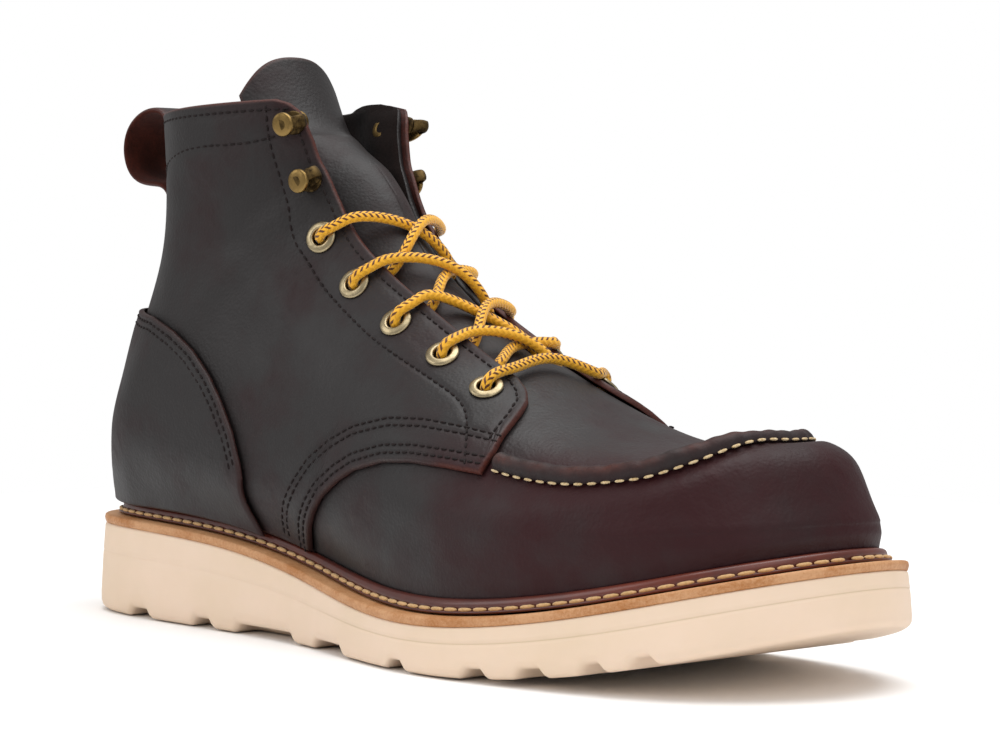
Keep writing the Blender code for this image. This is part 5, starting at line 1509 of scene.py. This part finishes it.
def build_eyelets():
    """Ten brass eyelets: a flange that rolls over into the hole, turned about the hole's axis, with painted shade
    inside the barrel and under the flange.
    """
    patches, names = [], []
    for side, word in ((LATERAL, "lateral"), (MEDIAL, "medial")):
        for number, fitting in enumerate(EYELETS, 1):
            place, *axes = seat(side, fitting, QUARTER_BASE + QUARTER_WALL + GAP)
            grid = turned(place, axes, EYELET_PROFILE, 40)
            # Painted shade: the barrel's inside and the flange's underside are marked darker, standing in for the
            # shade in the hole and under the rim.
            dark = np.array([1.0, 0.8, 0.3] + [0.0] * (len(EYELET_PROFILE) - 6) + [0.5, 1.0, 1.0])
            patches.append(Patch(grid, True, 0, {"hole": np.broadcast_to(dark, grid.shape[:2])}))
            names.append(f"eyelet_{word}_{number}")
    mesh = patch_mesh("brass_eyelets", patches)
    return add_piece(mesh, ["brass"], "fittings", *names)


HOOK_HEAD = [
    Rim(0.001, -1.0), Rim(2.9, -1.0), Rim(3.5, -0.75), Rim(3.7, -0.2), Rim(3.7, 0.45), Rim(3.55, 0.8),
    Rim(3.2, 0.98), Rim(2.2, 1.12), Rim(1.1, 1.18), Rim(0.001, 1.2),
]
HOOK_BASE = [
    Rim(0.001, -0.3), Rim(3.4, -0.3), Rim(3.7, 0.0), Rim(3.6, 0.35), Rim(3.2, 0.5), Rim(0.001, 0.55),
]
HOOK_BACK = [
    Rim(1.3, 0.0), Rim(1.4, 0.5), Rim(1.9, 0.75), Rim(2.8, 0.7), Rim(3.6, 0.35), Rim(3.9, 0.0), Rim(1.3, 0.0),
]


def build_hooks():
    """Four lace hooks: a pressed base, a bent neck, a round domed head that leans back and a ring inside, with
    painted shade on the base, the neck and the ring, and a little on the head.
    """
    patches, names = [], []
    bend = natural_spline(np.arange(len(HOOK_BEND)), np.array(HOOK_BEND, float), np.linspace(1.2, 6.2, 24))
    angle = np.linspace(0, 2 * math.pi, 17)
    wide = np.linspace(2.2, 1.8, len(bend))[:, None]
    for side, word in ((LATERAL, "lateral"), (MEDIAL, "medial")):
        for number, fitting in enumerate(HOOKS, 1):
            place, forward, across, out = seat(side, fitting, QUARTER_BASE + QUARTER_WALL + GAP)
            base = turned(place + 0.3 * forward, (forward, across, out), HOOK_BASE, 28)
            # Painted shade: the hole mark darkens the base, the neck and the ring inside the boot, where the hooks
            # lie in shade, and the head a little.
            patches.append(Patch(base, True, 0, {"hole": 0.75}))
            path = place + bend[:, :1] * forward + (bend[:, 1:] + HOOK_WALL / 2) * out
            run = unit(np.gradient(path, axis=0))
            up = unit(np.cross(run, across))
            neck = path[:, None] + (wide * np.cos(angle))[..., None] * across
            neck = neck + (0.62 * np.sin(angle))[None, :, None] * up[:, None]
            patches.append(Patch(neck, False, 0, {"hole": 0.7}))
            tip = place - 1.7 * forward + 5.1 * out
            lean = unit(out - 0.36 * forward)
            head = turned(tip, (unit(np.cross(across, lean)), across, lean), HOOK_HEAD, 36)
            patches.append(Patch(head, True, 0, {"hole": 0.1}))
            inside = seat(side, fitting, -UPPER_WALL)[0]
            back = turned(inside, (forward, -across, -out), HOOK_BACK, 28)
            patches.append(Patch(back, True, 0, {"hole": 0.35}))
            names.append(f"hook_{word}_{number}")
    mesh = flared(patch_mesh("brass_hooks", patches))
    return add_piece(mesh, ["hook"], "fittings", *names)


def lace_point(side, station, share, offset):
    return skin(side, np.array([station], float), np.array([share], float), np.array([offset]))[0]


def throat_share(side, station, wider=0.0):
    return throat_edge(side, np.array([station], float), wider)[0]


def into_eyelet(side, row):
    """Points of the lace from the eyestay's edge, over the eyelet's rim and down through its hole."""
    fitting = EYELETS[row]
    cross = LACE_CROSSINGS[row] if side == MEDIAL else fitting.station
    edge = throat_share(side, cross)
    place, forward, _, out = seat(side, fitting, 0.0)
    over, rim = (4.1, 4.6) if side == MEDIAL else (4.5, 4.9)
    return [
        lace_point(side, cross, edge - 0.012, 3.5),
        lace_point(side, (cross + fitting.station) / 2, edge + 0.35 * (fitting.share - edge), over),
        place + 2.6 * forward + rim * out,
        place + 0.5 * forward + 4.0 * out,
        place - 0.5 * forward + 2.2 * out,
        place - 0.4 * forward - 0.6 * out,
        place + 1.2 * forward - 2.6 * out,
    ]


def lace_strand(side, row, on_top):
    """Points of a strand from under one eyestay across the tongue, on its way to the other one a row up."""
    low, high = EYELETS[row + 1], EYELETS[row]
    first = max(low.station, THROAT_STATION + LACE_AHEAD)
    middle = (first + high.station) / 2
    return [
        lace_point(side, first, throat_share(side, first, 3.0), -2.9),
        lace_point(side, first, throat_share(side, first, -2.2), -1.2),
        lace_point(side, middle, 0.0, 2.0 if on_top else -1.1),
    ]


def lace_path():
    """The whole lace: from the top lateral eyelet down to the bar and up to the top medial eyelet."""
    ends = []
    for start in (LATERAL, MEDIAL):
        side = start
        points = into_eyelet(side, len(EYELETS) - 1)
        for row in range(len(EYELETS) - 2, -1, -1):
            on_top = (side == LATERAL) == (row % 2 == 0)
            points += lace_strand(side, row, on_top)
            side = -side
            points += into_eyelet(side, row)
        ends.append(points)
    middle = [lace_point(LATERAL, EYELETS[-1].station, 0.0, 3.6)]
    points = np.array(ends[0][::-1] + middle + ends[1])
    step = np.sqrt(np.linalg.norm(np.diff(points, axis=0), axis=1))
    knots = np.append(0.0, np.cumsum(step))
    dense = natural_spline(knots, points, np.linspace(0, knots[-1], 6000))
    reach = reach_along(dense)
    even = np.arange(0, reach[-1], LACE_STEP)
    return read_columns(even, reach, dense), even


def carried(path):
    """Directions along a path, and a sideways direction carried along it without twist."""
    run = unit(np.gradient(path, axis=0))
    side = np.empty_like(run)
    side[0] = unit(np.cross(run[0], [0.3, 0.4, 0.85]))
    for i in range(1, len(path)):
        side[i] = unit(side[i - 1] - run[i] * (side[i - 1] @ run[i]))
    return run, side


def build_lace():
    """The lace: a round cord carried along its path, with a UV map that counts plait lengths along it."""
    size = bpy.context.scene.boot_sizes
    radius = size.lace_diameter / MM / 2
    path, reach = lace_path()
    run, side = carried(path)
    other = np.cross(run, side)
    turn = np.linspace(0, 2 * math.pi, 17)
    ends = np.minimum(rounded(reach, 1.2), rounded(reach[-1] - reach, 1.2))
    ends[[0, -1]] = 0.01
    ring = np.cos(turn)[None, :, None] * side[:, None] + np.sin(turn)[None, :, None] * other[:, None]
    grid = path[:, None] + (radius * ends)[:, None, None] * ring
    plaits = reach / (size.plait_length / MM)
    uv = np.stack(np.broadcast_arrays(plaits[:, None], turn[None] / (2 * math.pi)), -1)
    mesh = patch_mesh("braided_lace", [Patch(grid, False, 0, None, uv)])
    names = ["lace_bar"] + [f"lace_cross_{number}" for number in range(1, len(EYELETS))]
    return add_piece(mesh, ["lace"], "lace", *names)


def build_insole():
    """The footbed keeps its solid and takes a leather finish."""
    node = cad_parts["insole"]
    node.data.materials.clear()
    node.data.materials.append(finishes()["footbed"])
    return node


# The photograph's view: turn round the boot, height and roll in degrees, distance, and framing in pixels
VIEW_TURN, VIEW_HEIGHT, VIEW_ROLL = 47.2, 1.6, 0.49
VIEW_AWAY, VIEW_FOCUS, VIEW_TARGET = 0.900, 3000.0, (0.0, 0.0, 0.090)
FRAME_WIDE, FRAME_HIGH, FRAME_CENTRE = 1000.0, 750.0, (458.0, 343.0)
SENSOR = 36.0


def build_camera():
    turn, height, roll = (math.radians(value) for value in (VIEW_TURN, VIEW_HEIGHT, VIEW_ROLL))
    back = Vector((math.sin(turn) * math.cos(height), -math.cos(turn) * math.cos(height), math.sin(height)))
    right = Vector((math.cos(turn), math.sin(turn), 0.0))
    up = back.cross(right)
    across = right * math.cos(roll) + up * math.sin(roll)
    upright = up * math.cos(roll) - right * math.sin(roll)
    data = bpy.data.cameras.new("photo_camera")
    data.sensor_width = SENSOR
    data.lens = VIEW_FOCUS * SENSOR / FRAME_WIDE
    data.shift_x = (FRAME_WIDE / 2 - FRAME_CENTRE[0]) / FRAME_WIDE
    data.shift_y = (FRAME_CENTRE[1] - FRAME_HIGH / 2) / FRAME_WIDE
    data.clip_start = 0.01
    camera = bpy.data.objects.new("photo_camera", data)
    matrix = Matrix((across, upright, back)).transposed().to_4x4()
    matrix.translation = Vector(VIEW_TARGET) + back * VIEW_AWAY
    camera.matrix_world = matrix
    bpy.context.scene.collection.objects.link(camera)
    bpy.context.scene.camera = camera


Lamp = namedtuple("Lamp", "name place aim size energy")
LAMPS = [
    Lamp("overhead_softbox", (0.15, 0.1, 1.3), (0.03, 0, 0.05), 1.3, 19.0),
    Lamp("key_softbox", (-0.7, -1.15, 0.8), (0, 0, 0.08), 0.9, 5.5),
    Lamp("right_softbox", (1.15, -0.45, 0.7), (0.05, 0, 0.06), 0.9, 3.0),
]
SEEN_WHITE, SURROUND_LIGHT, FLOOR_REACH = 1.0, 0.5, 0.55


def build_surround():
    """A white surround: the camera sees it at full white, and it lights the boot less than the lamps."""
    world = bpy.data.worlds.new("white_surround")
    world.use_nodes = True
    tree = world.node_tree
    seen = add_node(tree, "LightPath", out="Is Camera Ray")
    strength = add_node(tree, "MapRange", [(0, seen), (3, SURROUND_LIGHT), (4, SEEN_WHITE)])
    sky = tree.nodes["Background"]
    sky.inputs["Color"].default_value = (1.0, 1.0, 1.0, 1.0)
    tree.links.new(strength, sky.inputs["Strength"])
    bpy.context.scene.world = world


def build_stage():
    """A pale floor, three softboxes and an even white surround, shown with plain sRGB colours."""
    mesh = bpy.data.meshes.new("studio_floor")
    far = FLOOR_REACH
    mesh.from_pydata([(-far, -far, 0), (far, -far, 0), (far, far, 0), (-far, far, 0)], [], [(0, 1, 2, 3)])
    floor = bpy.data.objects.new("studio_floor", mesh)
    floor.location.z = -0.0004
    white = (*bpy.context.scene.boot_colours.floor, 1)
    card = start_material("white_studio_card", Base_Color=white, Roughness=0.85, Specular_IOR_Level=0.1)[0]
    mesh.materials.append(card)
    bpy.context.scene.collection.objects.link(floor)
    build_surround()
    for lamp in LAMPS:
        data = bpy.data.lights.new(lamp.name, "AREA")
        data.size = lamp.size
        data.energy = lamp.energy
        obj = bpy.data.objects.new(lamp.name, data)
        obj.location = lamp.place
        obj.rotation_euler = (Vector(lamp.aim) - Vector(lamp.place)).to_track_quat("-Z", "Y").to_euler()
        bpy.context.scene.collection.objects.link(obj)
    bpy.context.scene.view_settings.view_transform = "Standard"
    build_camera()


def colour(name, description, code):
    return FloatVectorProperty(
        name=name, description=description, subtype="COLOR", min=0, max=1, default=linear(code)
    )


def length(name, description, value):
    return FloatProperty(
        name=name, description=description, unit="LENGTH", subtype="DISTANCE", default=value * MM
    )


class BootSizes(bpy.types.PropertyGroup):
    """Sizes of the sewing and lacing."""

    moc_pitch: length("Moc stitch", "Length from one cream stitch of the rolled seam to the next", 4.2)
    stitch_pitch: length("Upper stitch", "Length from one dark stitch to the next", 2.9)
    thread_diameter: length("Upper thread", "Thickness of the dark thread", 0.72)
    welt_pitch: length("Welt stitch", "Length from one welt stitch to the next", 5.4)
    lace_diameter: length("Lace", "Thickness of the lace", LACE_WIDTH)
    plait_length: length("Lace plait", "Length of one plait of the lace, drawn coarse so that it shows", 1.9)


class BootColours(bpy.types.PropertyGroup):
    """Colours of the boot's materials."""

    leather: colour("Leather", "Oiled leather on the shaft and quarters", "1D1919")
    leather_warm: colour("Warm leather", "Oiled leather where it is burnished", "2D0F12")
    raw_edge: colour("Cut edge", "Raw cut edges of the leather", "4C2219")
    scuff: colour("Scuffed roll", "Rubbed crest of the rolled seam", "50251B")
    # Partly the lining's own dark tone and partly painted shade: both colours are set near black for the shade
    # inside the boot.
    lining: colour("Lining", "Split leather inside the boot", "120D0C")
    lining_pale: colour("Brushed lining", "Lining where its nap is brushed up", "1E1513")
    flesh: colour("Flesh side", "Inside of the pull loop", "2E1611")
    rubber: colour("Wedge", "Cream wedge rubber", "E3CBB5")
    rubber_shade: colour("Wedge shade", "Darker cream in the rubber", "CDB795")
    tan: colour("Midsole", "Tan sole leather", "C29268")
    tan_shade: colour("Midsole fibre", "Darker fibres of the sole leather", "A56B38")
    welt: colour("Welt", "Burnished welt", "4A1E16")
    welt_warm: colour("Rubbed welt", "Welt where it is rubbed redder", "6E2C1A")
    footbed: colour("Footbed", "Leather of the insole", "A87B50")
    cream_thread: colour("Cream thread", "Thread of the rolled seam", "DCC7A0")
    cream_shade: colour("Cream thread shade", "Darker strands of the cream thread", "B4935F")
    welt_thread: colour("Welt thread", "Tan thread of the welt", "CFA678")
    dark_thread: colour("Dark thread", "Thread of the quarters", "1E1312")
    brass: colour("Brass", "Rubbed brass", "A8997A")
    hook_brass: colour("Hook brass", "Browner brass of the hooks", "8E7446")
    # One colour for two things: real tarnish in clouds, and painted shade in holes, under flanges and on the
    # hooks' necks.
    brass_tarnish_and_shade: colour("Tarnish and painted shade", "Dark bronze in the recesses", "2E2417")
    lace: colour("Lace", "Gold lace strands", "EAAB1E")
    # Painted shade in the plait's folds.
    lace_shade: colour("Lace shade", "Gold strands in the plait's folds", "C98A16")
    lace_fleck: colour("Lace fleck", "Brown tracer strands", "5A2F12")
    floor: colour("Floor", "Studio floor", "F6F6F6")


class BOOT_OT_vamp(bpy.types.Operator):
    """Build the vamp, apron and lining."""

    bl_idname = "boot.vamp"
    bl_label = "Vamp and lining"

    def execute(self, context):
        build_vamp()
        return {"FINISHED"}


class BOOT_OT_quarters(bpy.types.Operator):
    """Build both quarters with their eyestays."""

    bl_idname = "boot.quarters"
    bl_label = "Quarters"

    def execute(self, context):
        build_quarter(LATERAL, "lateral")
        build_quarter(MEDIAL, "medial")
        return {"FINISHED"}


class BOOT_OT_back(bpy.types.Operator):
    """Build the heel counter, the backstay and the pull loop."""

    bl_idname = "boot.back"
    bl_label = "Counter, backstay and pull loop"

    def execute(self, context):
        build_counter()
        build_backstay()
        build_pull_loop()
        return {"FINISHED"}


class BOOT_OT_tongue(bpy.types.Operator):
    """Build the tongue."""

    bl_idname = "boot.tongue"
    bl_label = "Tongue"

    def execute(self, context):
        build_tongue()
        return {"FINISHED"}


class BOOT_OT_moc_seam(bpy.types.Operator):
    """Build the rolled seam round the apron."""

    bl_idname = "boot.moc_seam"
    bl_label = "Rolled moc seam"

    def execute(self, context):
        build_moc_seam()
        return {"FINISHED"}


class BOOT_OT_sole(bpy.types.Operator):
    """Build the wedge, the midsole and the welt, and finish the footbed."""

    bl_idname = "boot.sole"
    bl_label = "Sole and welt"

    def execute(self, context):
        build_outsole()
        build_midsole()
        build_welt()
        build_insole()
        return {"FINISHED"}


class BOOT_OT_stitches(bpy.types.Operator):
    """Sew the moc seam, the welt, the quarters and the counter."""

    bl_idname = "boot.stitches"
    bl_label = "Stitches"

    def execute(self, context):
        build_moc_stitches()
        build_welt_stitches()
        build_tone_stitches()
        return {"FINISHED"}


class BOOT_OT_brass(bpy.types.Operator):
    """Set the eyelets and the hooks."""

    bl_idname = "boot.brass"
    bl_label = "Eyelets and hooks"

    def execute(self, context):
        build_eyelets()
        build_hooks()
        return {"FINISHED"}


class BOOT_OT_lace(bpy.types.Operator):
    """Lace the boot from the bar to the top eyelets."""

    bl_idname = "boot.lace"
    bl_label = "Lace"

    def execute(self, context):
        build_lace()
        return {"FINISHED"}


class BOOT_OT_stage(bpy.types.Operator):
    """Set up the floor, the light and the camera."""

    bl_idname = "boot.stage"
    bl_label = "Stage"

    def execute(self, context):
        build_stage()
        return {"FINISHED"}


OPERATORS = [
    BOOT_OT_vamp,
    BOOT_OT_quarters,
    BOOT_OT_back,
    BOOT_OT_tongue,
    BOOT_OT_moc_seam,
    BOOT_OT_sole,
    BOOT_OT_stitches,
    BOOT_OT_brass,
    BOOT_OT_lace,
    BOOT_OT_stage,
]


class BOOT_PT_sidebar(bpy.types.Panel):
    """The boot's pieces, sizes and colours in the 3D view's sidebar."""

    bl_idname = "BOOT_PT_sidebar"
    bl_label = "Moc toe work boot"
    bl_space_type = "VIEW_3D"
    bl_region_type = "UI"
    bl_category = "Boot"

    def draw(self, context):
        for operator in OPERATORS:
            self.layout.operator(operator.bl_idname)
        for group in (context.scene.boot_sizes, context.scene.boot_colours):
            for name in group.__annotations__:
                self.layout.prop(group, name)


CLASSES = [BootSizes, BootColours, *OPERATORS, BOOT_PT_sidebar]


def register():
    for cls in CLASSES:
        bpy.utils.register_class(cls)
    bpy.types.Scene.boot_sizes = PointerProperty(type=BootSizes)
    bpy.types.Scene.boot_colours = PointerProperty(type=BootColours)


def unregister():
    del bpy.types.Scene.boot_sizes
    del bpy.types.Scene.boot_colours
    for cls in reversed(CLASSES):
        bpy.utils.unregister_class(cls)


def main():
    register()
    bpy.ops.boot.stage()
    bpy.ops.boot.vamp()
    bpy.ops.boot.quarters()
    bpy.ops.boot.back()
    bpy.ops.boot.tongue()
    bpy.ops.boot.moc_seam()
    bpy.ops.boot.sole()
    bpy.ops.boot.stitches()
    bpy.ops.boot.brass()
    bpy.ops.boot.lace()
    bpy.context.view_layer.update()


if __name__ == "__main__":
    main()
